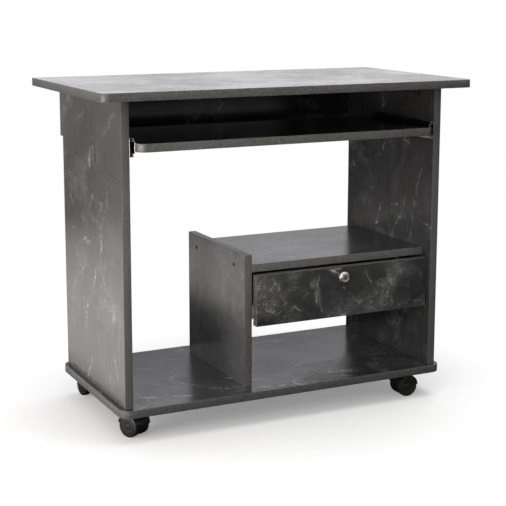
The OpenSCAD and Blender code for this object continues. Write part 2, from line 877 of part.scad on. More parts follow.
// Wheel: an open-backed drum with a hub, on the side that m picks
module castor_wheel(sx, y, turn, m) {
  s0 = wheel_s0;
  s1 = wheel_s1;
  bore_r = axle_r + pin_clear;
  color(black) at_castor(sx, y, turn) at_axle() mirror([0, 0, m]) rotate_extrude()
    polygon([[bore_r, s0], [6, s0], [6, s1 - 5.5], [wheel_r - 4, s1 - 5.5], [wheel_r - 4, s0],
             [wheel_r - 1, s0], [wheel_r, s0 + 1], [wheel_r, s1 - 2.4], [wheel_r - 1, s1 - 1.2],
             [wheel_r - 8, s1], [0, s1], [0, s1 - 3], [bore_r, s1 - 3]]);
}

// ---- Loose hardware ------------------------------------------------------------------------

module angle_brackets() {
  color(zinc) difference() {
    for (s = [0, 1], y = bracket_ys) mirror([s, 0, 0])
      along_y(y - bracket_w / 2, bracket_w) translate([inner_x, top_z0]) {
        translate([-bracket_t, -bracket_leg]) square([bracket_t, bracket_leg]);
        translate([-bracket_leg, -bracket_t]) square([bracket_leg, bracket_t]);
      }
    bracket_screws(seat_clear);
  }
}

module confirmat_screws() {
  color(steel) {
    base_confirmats();
    shelf_confirmats();
    modesty_confirmats();
  }
}

module wood_screws() {
  color(steel) {
    bracket_screws();
    slide_screws();
    rail_screws();
    castor_screws();
  }
}

module tray_screws() {
  color(steel) tray_slide_screws();
}

module drawer_screws() {
  color(steel) {
    box_rail_screws();
    box_back_screws();
    lock_face_screw();
  }
}

// ---- Nodes ---------------------------------------------------------------------------------

desktop();
side_panel(-1);  // side_panel_left
side_panel(1);  // side_panel_right
modesty_panel();
bottom_board();
partition();
shelf();
frame_edge_bands();
keyboard_tray();
tray_edge_band();
outer_member(-1);  // slide_outer_left
outer_member(1);  // slide_outer_right
cage(-1);  // slide_cage_left
cage(1);  // slide_cage_right
slide_balls();
inner_member(-1);  // slide_inner_left
inner_member(1);  // slide_inner_right
drawer_front();
drawer_front_edge_band();
drawer_side(-1);  // drawer_side_left
drawer_side(1);  // drawer_side_right
drawer_back();
drawer_bottom();
drawer_dowels();
fixed_rail(-1);  // cabinet_rail_left
fixed_rail(1);  // cabinet_rail_right
moving_rail(-1);  // drawer_rail_left
moving_rail(1);  // drawer_rail_right
front_rollers();
rear_rollers();
front_roller_pins();
rear_roller_pins();
lock_housing();
lock_plug();
lock_cam();
castor_plate(-1, castor_y0);  // castor_plate_fl
castor_plate(1, castor_y0);  // castor_plate_fr
castor_plate(-1, castor_y1);  // castor_plate_bl
castor_plate(1, castor_y1);  // castor_plate_br
castor_hood(-1, castor_y0, castor_turn_fl);  // castor_hood_fl
castor_hood(1, castor_y0, castor_turn_fr);  // castor_hood_fr
castor_hood(-1, castor_y1, castor_turn_bl);  // castor_hood_bl
castor_hood(1, castor_y1, castor_turn_br);  // castor_hood_br
castor_axle(-1, castor_y0, castor_turn_fl);  // castor_axle_fl
castor_axle(1, castor_y0, castor_turn_fr);  // castor_axle_fr
castor_axle(-1, castor_y1, castor_turn_bl);  // castor_axle_bl
castor_axle(1, castor_y1, castor_turn_br);  // castor_axle_br
castor_wheel(-1, castor_y0, castor_turn_fl, 0);  // wheel_fl_a
castor_wheel(-1, castor_y0, castor_turn_fl, 1);  // wheel_fl_b
castor_wheel(1, castor_y0, castor_turn_fr, 0);  // wheel_fr_a
castor_wheel(1, castor_y0, castor_turn_fr, 1);  // wheel_fr_b
castor_wheel(-1, castor_y1, castor_turn_bl, 0);  // wheel_bl_a
castor_wheel(-1, castor_y1, castor_turn_bl, 1);  // wheel_bl_b
castor_wheel(1, castor_y1, castor_turn_br, 0);  // wheel_br_a
castor_wheel(1, castor_y1, castor_turn_br, 1);  // wheel_br_b
angle_brackets();
confirmat_screws();
wood_screws();
tray_screws();
drawer_screws();
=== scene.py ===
import json
import math

import bmesh
import bpy
import numpy as np
from mathutils import Matrix, Vector


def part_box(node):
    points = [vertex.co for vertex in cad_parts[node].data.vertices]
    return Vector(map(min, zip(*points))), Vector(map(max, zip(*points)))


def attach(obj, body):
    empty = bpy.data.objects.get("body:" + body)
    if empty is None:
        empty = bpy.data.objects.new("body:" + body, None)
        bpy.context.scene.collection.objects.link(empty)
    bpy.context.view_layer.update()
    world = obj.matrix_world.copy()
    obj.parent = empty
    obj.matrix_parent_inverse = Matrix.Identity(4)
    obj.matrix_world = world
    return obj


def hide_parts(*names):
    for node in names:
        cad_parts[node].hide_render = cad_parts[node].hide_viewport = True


# Computer desk with a keyboard tray: its looks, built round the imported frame.
# Metres, +Z up, -Y towards the sitter, the origin on the floor under the middle of the desktop.

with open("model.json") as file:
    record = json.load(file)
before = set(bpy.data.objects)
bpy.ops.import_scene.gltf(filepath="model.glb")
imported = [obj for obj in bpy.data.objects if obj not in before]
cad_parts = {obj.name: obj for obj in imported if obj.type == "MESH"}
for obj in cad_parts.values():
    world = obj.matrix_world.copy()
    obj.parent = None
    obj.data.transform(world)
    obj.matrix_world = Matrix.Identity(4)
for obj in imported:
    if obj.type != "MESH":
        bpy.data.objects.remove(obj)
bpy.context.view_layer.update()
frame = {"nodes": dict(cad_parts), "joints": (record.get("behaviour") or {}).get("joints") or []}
NODE = frame["nodes"]

CORNERS = ("fl", "fr", "bl", "br")
JOINT = {j["name"]: j for j in frame["joints"]}

# ---- Camera -----------------------------------------------------------------------------------

eye = bpy.data.cameras.new("eye")
eye.lens = 91.5
eye.sensor_width = 36.0
eye.shift_y = -0.08
eye.clip_end = 100.0
viewer = bpy.data.objects.new("viewer", eye)
viewer.location = (-1.3105, -2.6693, 0.9792)
viewer.rotation_euler = [math.radians(a) for a in (79.8, -0.1, -26.2)]
bpy.context.scene.collection.objects.link(viewer)
bpy.context.scene.camera = viewer

# ---- Sizes ------------------------------------------------------------------------------------

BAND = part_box("frame_edge_bands")[1].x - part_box("desktop")[1].x   # thickness of the edge banding
ARRIS = 0.0006                     # rounding of the banding's two edges
BAND_END = 0.0001                  # gap between the ends of two strips
DESKTOP_CORNER = 0.020
BASE_CORNER = 0.025
TRAY_CORNER = 0.020

# ---- Mesh helpers -----------------------------------------------------------------------------


def piece(name, points, faces, body, stands_for=(), smooth=35.0):
    """A closed mesh from an (n, 3) array of points and a list of faces. Doubles are merged and the
    faces are turned outwards, then edges sharper than the smooth angle in degrees stay sharp."""
    mesh = bpy.data.meshes.new(name)
    mesh.from_pydata(np.asarray(points, float).tolist(), [], faces)
    bm = bmesh.new()
    bm.from_mesh(mesh)
    bmesh.ops.remove_doubles(bm, verts=bm.verts, dist=1e-6)
    bmesh.ops.recalc_face_normals(bm, faces=bm.faces)
    bm.to_mesh(mesh)
    bm.free()
    mesh.shade_smooth()
    mesh.set_sharp_from_angle(angle=math.radians(smooth))
    made = bpy.data.objects.new(name, mesh)
    bpy.context.scene.collection.objects.link(made)
    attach(made, body)
    if stands_for:
        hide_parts(*stands_for)
    return made


def grid_faces(rows, cols, start=0, round_rows=False, round_cols=False):
    """Quads over a grid of rows by cols points, stored row after row. A round direction joins its
    last line of points to its first."""
    r = np.arange(rows if round_rows else rows - 1)
    c = np.arange(cols if round_cols else cols - 1)
    r, c = (a.ravel() for a in np.meshgrid(r, c, indexing="ij"))
    r2, c2 = (r + 1) % rows, (c + 1) % cols
    quads = np.stack([r * cols + c, r * cols + c2, r2 * cols + c2, r2 * cols + c], 1) + start
    return quads.tolist()


class Shell:
    """Gathers the grids of one piece."""

    def __init__(self):
        self.points, self.faces, self.count = [], [], 0

    def grid(self, points, round_rows=False, round_cols=False, cap_rows=False):
        """Adds a (rows, cols, 3) grid. cap_rows closes its first and last row with a face."""
        rows, cols = points.shape[:2]
        self.faces += grid_faces(rows, cols, self.count, round_rows, round_cols)
        if cap_rows:
            self.faces.append(list(range(self.count, self.count + cols)))
            last = self.count + (rows - 1) * cols
            self.faces.append(list(range(last, last + cols)))
        self.points.append(points.reshape(-1, 3))
        self.count += rows * cols

    def made(self, name, body, slot, stands_for=(), smooth=35.0):
        return piece(name, np.concatenate(self.points), self.faces, body, stands_for, smooth)


def turned(profile, count=48):
    """Profile of (radius, height) rows carried once round +Z: x = r cos a, y = r sin a, z = h."""
    a = np.linspace(0, 2 * np.pi, count, endpoint=False)[:, None]
    r, h = np.asarray(profile, float).T
    return np.stack([r * np.cos(a), r * np.sin(a), np.broadcast_to(h, (count, len(r)))], -1)


def rounded(corners, radii, steps=5):
    """A closed outline whose corners are rounded. At each corner the arc starts r tan(t/2) before
    it, where t is the turn, and follows a circle of radius r to the same distance after it."""
    out = []
    n = len(corners)
    pts = np.asarray(corners, float)
    for i in range(n):
        p, r = pts[i], radii[i]
        d0 = p - pts[i - 1]
        d1 = pts[(i + 1) % n] - p
        d0, d1 = d0 / np.linalg.norm(d0), d1 / np.linalg.norm(d1)
        turn = math.atan2(d0[0] * d1[1] - d0[1] * d1[0], d0 @ d1)
        if r <= 0 or abs(turn) < 1e-6:
            out.append(p[None])
            continue
        a = p - d0 * r * math.tan(abs(turn) / 2)
        side = np.array([-d0[1], d0[0]]) * math.copysign(1, turn)
        t = np.linspace(0, abs(turn), steps + 1)[:, None]
        out.append(a + side * r * (1 - np.cos(t)) + d0 * r * np.sin(t))
    return np.concatenate(out)


def to_xyz(p, q, w, order):
    """Puts in-plane coordinates p, q and the across coordinate w on the axes that order names."""
    out = np.zeros(np.broadcast(p, q, w).shape + (3,))
    for value, axis in zip((p, q, w), order):
        out[..., "xyz".index(axis)] = value
    return out


def strip(path, w0, w1, order, closed, thick=BAND, arris=ARRIS):
    """Edge banding: a flat strip whose two outer edges are quarter rounds, carried along path with
    its outer face on the path's right. At a corner the profile lies on the mitre line, stretched
    by 1 / cos(half the turn)."""
    path = np.asarray(path, float)
    d = np.diff(np.vstack([path, path[:1]]) if closed else path, axis=0)
    d /= np.linalg.norm(d, axis=1, keepdims=True)
    before = np.roll(d, 1, axis=0) if closed else np.vstack([d[:1], d])
    after = d if closed else np.vstack([d, d[-1:]])
    right = lambda v: np.stack([v[:, 1], -v[:, 0]], 1)
    n = right(before) + right(after)
    n /= np.sum(n * right(after), axis=1, keepdims=True)
    a = np.linspace(0, np.pi / 2, 4)
    out = np.concatenate([[-thick], arris * (np.sin(a) - 1), arris * (np.cos(a) - 1), [-thick]])
    across = np.concatenate([[w0], w0 + arris * (1 - np.cos(a)), w1 - arris * (1 - np.sin(a)),
                             [w1]])
    p = path[:, :1] + n[:, :1] * out
    q = path[:, 1:] + n[:, 1:] * out
    return to_xyz(p, q, np.broadcast_to(across, p.shape), order)


def add_strip(shell, path, w0, w1, order, closed):
    shell.grid(strip(path, w0, w1, order, closed), round_rows=closed, round_cols=True,
               cap_rows=not closed)


def board_edge(x0, x1, y0, y1, front_r, back_r):
    """Outline of a board, against the clock from its front left corner."""
    return rounded([(x0, y0), (x1, y0), (x1, y1), (x0, y1)],
                   [front_r, front_r, back_r, back_r], 10)


# ---- Edge banding -----------------------------------------------------------------------------


def outline_band(shell, node, front_r, back_r):
    lo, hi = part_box(node)
    path = board_edge(lo.x - BAND, hi.x + BAND, lo.y - BAND, hi.y + BAND, front_r, back_r)
    add_strip(shell, path, lo.z, hi.z, "xyz", True)


bands = Shell()
outline_band(bands, "desktop", DESKTOP_CORNER, 0)
outline_band(bands, "bottom_board", BASE_CORNER, BASE_CORNER)
for side in ("side_panel_left", "side_panel_right"):
    lo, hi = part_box(side)
    z0, z1 = lo.z + BAND_END, hi.z - BAND_END
    add_strip(bands, [(lo.y - BAND, z1), (lo.y - BAND, z0)], lo.x, hi.x, "yzx", False)
    add_strip(bands, [(hi.y + BAND, z0), (hi.y + BAND, z1)], lo.x, hi.x, "yzx", False)
lo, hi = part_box("partition")
add_strip(bands, [(hi.y + BAND, lo.z + BAND_END), (hi.y + BAND, hi.z + BAND),
                  (lo.y - BAND, hi.z + BAND), (lo.y - BAND, lo.z + BAND_END)],
          lo.x, hi.x, "yzx", False)
lo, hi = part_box("modesty_panel")
add_strip(bands, [(lo.x - BAND, hi.z - BAND_END), (lo.x - BAND, lo.z - BAND),
                  (hi.x + BAND, lo.z - BAND), (hi.x + BAND, hi.z - BAND_END)],
          lo.y + BAND_END, hi.y, "xzy", False)
lo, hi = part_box("shelf")
x0, x1 = lo.x + BAND_END, hi.x - BAND_END
add_strip(bands, [(x0, lo.y - BAND), (x1, lo.y - BAND)], lo.z, hi.z, "xyz", False)
add_strip(bands, [(x1, hi.y + BAND), (x0, hi.y + BAND)], lo.z, hi.z, "xyz", False)
frame_band = bands.made("frame_banding", "desk_frame", "edge_band", ["frame_edge_bands"])

bands = Shell()
outline_band(bands, "keyboard_tray", TRAY_CORNER, 0)
tray_band = bands.made("tray_banding", "tray", "edge_band", ["tray_edge_band"])

bands = Shell()
lo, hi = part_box("drawer_front")
add_strip(bands, [(lo.x - BAND, lo.z - BAND), (hi.x + BAND, lo.z - BAND),
                  (hi.x + BAND, hi.z + BAND), (lo.x - BAND, hi.z + BAND)],
          lo.y, hi.y, "xzy", True)
drawer_band = bands.made("drawer_front_banding", "drawer", "edge_band", ["drawer_front_edge_band"])

# ---- Castors ----------------------------------------------------------------------------------

WHEEL_R = 0.025
WHEEL_IN = 0.0085        # inner face of a wheel, from the middle of the castor
WHEEL_OUT = 0.0235
BORE = 0.00305
HOOD_GAP = 0.0008        # between the tread and the hood
HOOD_T = 0.0026
WEB_W = 0.0072           # half width of the web between the wheels
POST_Z = 0.033           # lower end of the swivel post


def on_axle(points, corner, side=1.0):
    """Turns points from axle coordinates (x back from the swivel, y up, z along the axle) to the
    desk's: the axle is the wheel joint's own axis, and the swivel stands on its other side."""
    joint = JOINT[f"wheel_spin_{corner}_a"]
    axle = np.array(joint["axis"], float)
    back = np.array([-axle[1], axle[0], 0.0])
    up = np.array([0.0, 0.0, 1.0])
    return (np.array(joint["pos_m"]) + points[..., :1] * back + points[..., 1:2] * up
            + points[..., 2:] * axle * side)


def wheel_profile():
    """Half section of one wheel as (radius, place along the axle): a crowned tread with round
    shoulders, a stepped outer face with a ring groove, and a low domed hub cap."""
    a = np.linspace(0, np.pi / 2, 6)
    r, w0, w1 = WHEEL_R, WHEEL_IN, WHEEL_OUT
    shoulder = 0.0032
    tread = np.stack([r - 0.0008 + 0.0008 * np.sin(a), w0 + 0.0008 - 0.0008 * np.cos(a)], 1)
    crown = np.stack([r - shoulder * (1 - np.cos(a)), w1 - 0.0012 - shoulder * (1 - np.sin(a))], 1)
    face = np.array([(0.0196, w1 - 0.0009), (0.0190, w1 - 0.0016), (0.0183, w1 - 0.0016),
                     (0.0177, w1 - 0.0009), (0.0150, w1 - 0.0006), (0.0086, w1 - 0.0012),
                     (0.0080, w1 - 0.0020), (0.0074, w1 - 0.0012)])
    t = np.linspace(0, 1, 6)
    cap = np.stack([0.0070 * (1 - t), w1 - 0.0006 + 0.0006 * np.sin(t * np.pi / 2)], 1)
    inside = np.array([(0, w1 - 0.003), (BORE, w1 - 0.003), (BORE, w0), (0.006, w0),
                       (0.006, w1 - 0.0055), (r - 0.004, w1 - 0.0055), (r - 0.004, w0)])
    return np.concatenate([tread, crown, face, cap, inside])


def hood_roof(start, stop, count):
    """Roof of the hood in axle coordinates, over angle a and place s across (-1 to 1). Its under
    side stands 0.8 mm off the tread, and its thickness is HOOD_T * (1 - 0.5 s^4) in the middle of
    the arc and (1 - |2t - 1|^5) of that towards the two ends, so that they run out thin."""
    t = np.linspace(0, 1, count)[:, None]
    a = np.radians(start + (stop - start) * t)
    s = np.concatenate([np.linspace(-1, 1, 17), np.linspace(1, -1, 9)])[None, :]
    over = np.concatenate([np.ones(17), np.zeros(9)])[None, :]
    thick = HOOD_T * (1 - 0.5 * s ** 4) * (0.12 + 0.88 * (1 - np.abs(2 * t - 1) ** 5))
    r = WHEEL_R + HOOD_GAP + over * thick
    w = s * (WHEEL_OUT - 0.0003 * (1 - over)) + 0 * t
    return np.stack([r * np.cos(a), r * np.sin(a), w], -1)


def swept(profile, start, stop, count):
    """Section (radius, place) carried round the axle from start to stop degrees, in axle
    coordinates."""
    a = np.radians(np.linspace(start, stop, count))[:, None]
    r, w = profile[:, 0], profile[:, 1]
    return np.stack([r * np.cos(a), r * np.sin(a), w + 0 * a], -1)


for corner in CORNERS:
    for which, side in (("a", 1.0), ("b", -1.0)):
        shell = Shell()
        shell.grid(on_axle(turned(wheel_profile(), 64), corner, side), round_rows=True,
                   round_cols=True)
        shell.made(f"castor_wheel_{corner}_{which}", f"castor_wheel_{corner}_{which}",
                   "castor_plastic", [f"wheel_{corner}_{which}"], smooth=40)
    lo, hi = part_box(f"castor_hood_{corner}")
    swivel = JOINT[f"castor_swivel_{corner}"]["pos_m"]
    shell = Shell()
    shell.grid(on_axle(hood_roof(12, 176, 48), corner), round_cols=True, cap_rows=True)
    web = np.array([(0.0010, -WEB_W), (0.0270, -WEB_W), (0.0270, WEB_W), (0.0010, WEB_W)])
    shell.grid(on_axle(swept(web, 20, 195, 40), corner), round_cols=True, cap_rows=True)
    collar = np.array([(0, -0.0079), (0.0217, -0.0079), (0.0225, -0.0071), (0.0225, 0.0071),
                       (0.0217, 0.0079), (0, 0.0079)])
    shell.grid(on_axle(turned(collar, 64), corner), round_rows=True)
    z0, z1 = POST_Z, hi.z
    post = np.array([(0, z0), (0.0060, z0), (0.0068, z0 + 0.0008), (0.0068, z1 - 0.0040),
                     (0.0080, z1 - 0.0028), (0.0112, z1 - 0.0024), (0.0120, z1 - 0.0016),
                     (0.0120, z1 - 0.0006), (0.0114, z1), (0, z1)])
    shell.grid(turned(post, 40) + np.array([swivel[0], swivel[1], 0.0]), round_rows=True)
    shell.made(f"castor_housing_{corner}", f"castor_{corner}", "castor_plastic",
               [f"castor_hood_{corner}"], smooth=40)

# ---- Lock -------------------------------------------------------------------------------------

PLUG_BORE = 0.00655      # radius of the hole that the plug turns in


def rosette_profile(barrel_end, bore):
    """Half section of the lock's body as (radius, distance out of the drawer front): a barrel, a
    thin rosette with a round rim, and a stepped drum whose rim is a quarter round."""
    a = np.linspace(0, np.pi / 2, 6)
    rim = np.stack([0.0122 + 0.0008 * np.cos(a), 0.0008 + 0.0008 * np.sin(a)], 1)
    drum = np.stack([0.0092 + 0.0010 * np.cos(a), 0.0060 + 0.0010 * np.sin(a)], 1)
    body = [(bore, barrel_end), (0.0090, barrel_end), (0.0090, 0.0), (0.0130, 0.0)]
    steps = [(0.0112, 0.0018), (0.0108, 0.0022), (0.0104, 0.0024)]
    lip = [(0.0078, 0.0070), (0.0074, 0.0066), (0.0069, 0.0066), (bore, 0.0068)]
    return np.concatenate([body, rim, steps, drum, lip])


lo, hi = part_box("lock_housing")
lock_centre = JOINT["lock_turn"]["pos_m"]
section = turned(rosette_profile(lock_centre[1] - hi.y, PLUG_BORE), 72)
shell = Shell()
shell.grid(np.stack([section[..., 0] + lock_centre[0], lock_centre[1] - section[..., 2],
                     section[..., 1] + lock_centre[2]], -1), round_rows=True, round_cols=True)
lock_body = shell.made("lock_rosette", "drawer", "lock_nickel", ["lock_housing"], smooth=50)

# ---- Slides -----------------------------------------------------------------------------------


def rounded_path(corners, radius, steps=6):
    """Open path through corners (u, v), each inner one cut by an arc of the given radius, as
    points and the unit normals on the path's left."""
    corners = np.array(corners, float)
    legs = np.diff(corners, axis=0)
    legs = legs / np.linalg.norm(legs, axis=1)[:, None]
    left = np.stack([-legs[:, 1], legs[:, 0]], 1)
    points, normals = [corners[0]], [left[0]]
    for k in range(1, len(corners) - 1):
        before, after = legs[k - 1], legs[k]
        turn = math.asin(before[0] * after[1] - before[1] * after[0])
        start = corners[k] - before * radius * abs(math.tan(turn / 2))
        side = math.copysign(1.0, turn)
        centre = start + left[k - 1] * side * radius
        a = np.linspace(0, turn, steps)[:, None]
        c, d = np.cos(a), np.sin(a)
        n = left[k - 1] * c + np.array([-left[k - 1][1], left[k - 1][0]]) * d
        points.extend(centre - n * side * radius)
        normals.extend(n)
    points.append(corners[-1])
    normals.append(left[-1])
    return np.array(points), np.array(normals)


def rolled(node, body, slot, corners, radius, thickness):
    """A rolled member along Y: the sheet's section, a rectangle with 0.15 mm arrises, is carried
    along the rounded path (u off the side panel, v up from the middle of the slide)."""
    lo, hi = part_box(node)
    side = 1.0 if lo.x > 0 else -1.0
    face = side * INNER_X
    middle = (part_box("slide_outer_left")[0].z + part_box("slide_outer_left")[1].z) / 2
    path, normal = rounded_path(corners, radius)
    t, e = thickness / 2, 0.00015
    y0, y1 = lo.y, hi.y
    across = np.array([-t, -t, -t + e, t - e, t, t, t - e, -t + e])
    along = np.array([y0 + e, y1 - e, y1, y1, y1 - e, y0 + e, y0, y0])
    uv = path[:, None, :] + normal[:, None, :] * across[None, :, None]
    points = np.stack([face - side * uv[..., 0], along + 0 * uv[..., 0], middle + uv[..., 1]], -1)
    shell = Shell()
    shell.grid(points[:, ::-1] if side > 0 else points, round_cols=True, cap_rows=True)
    return shell.made(node + "_rolled", body, slot, [node], smooth=35)


INNER_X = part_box("side_panel_right")[0].x
OUTER_LO, OUTER_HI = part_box("slide_outer_right")
INNER_LO, INNER_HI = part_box("slide_inner_right")
SHEET = 0.0012
lip_u = INNER_X - OUTER_LO.x - SHEET / 2
web_u = INNER_X - INNER_LO.x - SHEET / 2
top_v = (OUTER_HI.z - OUTER_LO.z) / 2 - SHEET / 2
arm_v = (INNER_HI.z - INNER_LO.z) / 2 - SHEET / 2
lip_v = arm_v + SHEET / 2 + 0.001
OUTER_PATH = [(lip_u, lip_v), (lip_u, top_v), (SHEET / 2, top_v), (SHEET / 2, -top_v),
              (lip_u, -top_v), (lip_u, -lip_v)]
INNER_PATH = [(INNER_X - INNER_HI.x, arm_v), (web_u, arm_v), (web_u, -arm_v),
              (INNER_X - INNER_HI.x, -arm_v)]
SLIDES = [rolled(f"slide_outer_{side}", "desk_frame", "slide_steel", OUTER_PATH, 0.0021, SHEET)
          for side in ("left", "right")]
SLIDES += [rolled(f"slide_inner_{side}", "tray", "slide_steel", INNER_PATH, 0.0016, SHEET)
           for side in ("left", "right")]

# ---- Screws -----------------------------------------------------------------------------------


def solids(node):
    """The separate solids of a CAD node as arrays of points. Points that share a triangle take
    the lowest label among them until no label changes."""
    mesh = NODE[node].data
    co = np.zeros(len(mesh.vertices) * 3)
    mesh.vertices.foreach_get("co", co)
    tri = np.zeros(len(mesh.loops), int)
    mesh.loops.foreach_get("vertex_index", tri)
    co = co.reshape(-1, 3)
    _, same = np.unique(np.round(co, 6), axis=0, return_inverse=True)
    tri = same.reshape(-1)[tri].reshape(-1, 3)
    label = np.arange(same.max() + 1)
    while True:
        low = label[tri].min(1)
        new = label.copy()
        for k in range(3):
            np.minimum.at(new, tri[:, k], low)
        new = new[new]
        if (new == label).all():
            break
        label = new
    of_point = label[same.reshape(-1)]
    return [co[of_point == n] for n in np.unique(of_point)]


def pointing(points):
    """A screw's head centre, its direction into the work, its length and its head radius: it lies
    along its longest side, and the head is the end whose slice is the widest."""
    lo, hi = points.min(0), points.max(0)
    axis = int(np.argmax(hi - lo))
    middle = (lo + hi) / 2
    flat = np.delete(points - middle, axis, 1)
    radius = np.linalg.norm(flat, axis=1)
    wide = points[radius > radius.max() * 0.98][:, axis].mean()
    sign = 1.0 if wide < middle[axis] else -1.0
    start = middle.copy()
    start[axis] = lo[axis] if sign > 0 else hi[axis]
    into = np.zeros(3)
    into[axis] = sign
    return start, into, hi[axis] - lo[axis], radius.max()


def screw(shell, start, into, length, head_r, head_h, shank_r, recess, arms):
    """One screw along into from the middle of its head. The head's top is a dome, sunk inside a
    recess by depth * smooth(edge - r), where edge = recess / the largest of |cos| over the
    recess's sides. The shank tapers to a point, and rings of threads stand out of it."""
    a = np.linspace(0, 2 * np.pi, 24 if arms == 4 else 30, endpoint=False)[:, None]
    if arms == 4:
        wide = np.abs(np.cos(2 * a)) ** 3
        edge = recess * (0.30 + 0.70 * wide)
    else:
        sector = np.mod(a, np.pi / 3) - np.pi / 6
        edge = recess * math.cos(np.pi / 6) / np.cos(sector)
    depth = min(head_h * 1.4, recess)
    inner = np.array([0.0, 0.35, 0.80, 0.97])
    top_r = np.concatenate([edge * inner, edge * 1.03, edge + (head_r * 0.96 - edge) * 0.5,
                            np.full_like(a, head_r * 0.96), np.full_like(a, head_r)], 1)
    dome = head_h * 0.22
    sunk = np.array([depth, depth, depth * 0.9, depth * 0.25, 0, 0, 0, 0])
    top_h = dome * (top_r / head_r) ** 2 + sunk
    n = 5
    turns = np.linspace(0, 1, 2 * n)
    body_r = shank_r * np.where(np.arange(2 * n) % 2 == 0, 0.72, 1.0)
    body_r = np.concatenate([[head_r, shank_r * 0.8], body_r, [0.0]])
    body_h = np.concatenate([[head_h, head_h], head_h + (length - head_h) * (0.12 + 0.78 * turns),
                             [length]])
    r = np.concatenate([top_r, np.broadcast_to(body_r, (len(a), len(body_r)))], 1)
    h = np.concatenate([top_h, np.broadcast_to(body_h, (len(a), len(body_h)))], 1)
    side = np.roll(into, 1)
    other = np.cross(into, side)
    points = (start + (r * np.cos(a))[..., None] * side + (r * np.sin(a))[..., None] * other
              + h[..., None] * into)
    shell.grid(points, round_rows=True)


def screws(name, node, body, slot, head_h, shank_r, recess, arms=4, wanted=lambda start: True):
    """The screws of a node whose head centre is wanted, as one piece."""
    shell = Shell()
    for points in solids(node):
        start, into, length, head_r = pointing(points)
        if wanted(start):
            screw(shell, start, into, length, head_r, head_h, shank_r, recess, arms)
    return shell.made(name, body, slot, [node], smooth=45)


def on_the_face(start):
    """True for the screw beside the lock, whose head lies in the drawer front's outer face."""
    return start[1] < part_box("drawer_front")[0].y + 0.001


WOOD_SCREW = (0.0009, 0.00175, 0.0021)           # head height, shank radius, recess radius
SCREW_SET = [screws(node + "_made", node, body, "screw_steel", *WOOD_SCREW)
             for node, body in (("wood_screws", "desk_frame"), ("tray_screws", "tray"))]
SCREW_SET.append(screws("drawer_screws_made", "drawer_screws", "drawer", "screw_steel",
                        *WOOD_SCREW, wanted=lambda start: not on_the_face(start)))
lock_screw = screws("lock_screw_made", "drawer_screws", "drawer", "screw_steel", *WOOD_SCREW,
                    wanted=on_the_face)
confirmats = screws("confirmats_made", "confirmat_screws", "desk_frame", "screw_steel", 0.003,
                    0.0032, 0.0024, 6)

# ---- Shader helpers ---------------------------------------------------------------------------


class Graph:
    """One node tree, with short calls for the nodes that this desk's finishes use. A value given
    to an input may be a number, a colour or another node's output."""

    def __init__(self, tree):
        self.tree = tree

    def node(self, kind, **settings):
        made = self.tree.nodes.new(kind)
        for key, value in settings.items():
            setattr(made, key, value)
        return made

    def feed(self, socket, value):
        if isinstance(value, bpy.types.NodeSocket):
            self.tree.links.new(value, socket)
        elif value is not None:
            socket.default_value = value

    def math(self, operation, a, b=None, c=None, clamp=False):
        made = self.node("ShaderNodeMath", operation=operation, use_clamp=clamp)
        for socket, value in zip(made.inputs, (a, b, c)):
            self.feed(socket, value)
        return made.outputs[0]

    def vector(self, operation, a, b=None):
        made = self.node("ShaderNodeVectorMath", operation=operation)
        self.feed(made.inputs[0], a)
        self.feed(made.inputs[1], b)
        return made.outputs["Value"] if operation in ("LENGTH", "DISTANCE") else made.outputs[0]

    def scaled(self, a, factor):
        made = self.node("ShaderNodeVectorMath", operation="SCALE")
        self.feed(made.inputs[0], a)
        self.feed(made.inputs["Scale"], factor)
        return made.outputs[0]

    def ramp(self, value, low, high, to_low=0.0, to_high=1.0):
        """Value from low to high becomes to_low to to_high, and stays at the ends outside."""
        made = self.node("ShaderNodeMapRange", interpolation_type="SMOOTHSTEP")
        for name, given in (("Value", value), ("From Min", low), ("From Max", high),
                            ("To Min", to_low), ("To Max", to_high)):
            self.feed(made.inputs[name], given)
        return made.outputs[0]

    def noise(self, vector, scale, detail=3.0, rough=0.5, colour=False):
        made = self.node("ShaderNodeTexNoise", noise_dimensions="3D")
        for name, given in (("Vector", vector), ("Scale", scale), ("Detail", detail),
                            ("Roughness", rough)):
            self.feed(made.inputs[name], given)
        return made.outputs["Color" if colour else "Fac"]

    def cracks(self, vector, scale):
        """Distance from the nearest edge between two cells."""
        made = self.node("ShaderNodeTexVoronoi", voronoi_dimensions="3D",
                         feature="DISTANCE_TO_EDGE")
        self.feed(made.inputs["Vector"], vector)
        self.feed(made.inputs["Scale"], scale)
        return made.outputs["Distance"]

    def mix(self, factor, a, b):
        made = self.node("ShaderNodeMix", data_type="RGBA")
        self.feed(made.inputs[0], factor)
        self.feed(made.inputs[6], a)
        self.feed(made.inputs[7], b)
        return made.outputs[2]

    def bump(self, height, strength, distance):
        made = self.node("ShaderNodeBump")
        self.feed(made.inputs["Strength"], strength)
        self.feed(made.inputs["Distance"], distance)
        self.feed(made.inputs["Height"], height)
        return made.outputs[0]

    def split(self, vector):
        """The X, Y and Z of a vector."""
        made = self.node("ShaderNodeSeparateXYZ")
        self.feed(made.inputs[0], vector)
        return made.outputs

    def place(self, group, **inputs):
        """Places a node group. Input names have underscores for spaces."""
        made = self.node("ShaderNodeGroup", node_tree=group)
        for key, value in inputs.items():
            self.feed(made.inputs[key.replace("_", " ")], value)
        return made.outputs


def new_group(name, inputs, outputs):
    """An empty node group. inputs are (name, kind, value) rows and outputs are (name, kind)."""
    tree = bpy.data.node_groups.new(name, "ShaderNodeTree")
    for label, kind, value in inputs:
        made = tree.interface.new_socket(label, in_out="INPUT", socket_type="NodeSocket" + kind)
        if value is not None:
            made.default_value = value
    for label, kind in outputs:
        tree.interface.new_socket(label, in_out="OUTPUT", socket_type="NodeSocket" + kind)
    g = Graph(tree)
    return g, g.node("NodeGroupInput").outputs, g.node("NodeGroupOutput").inputs


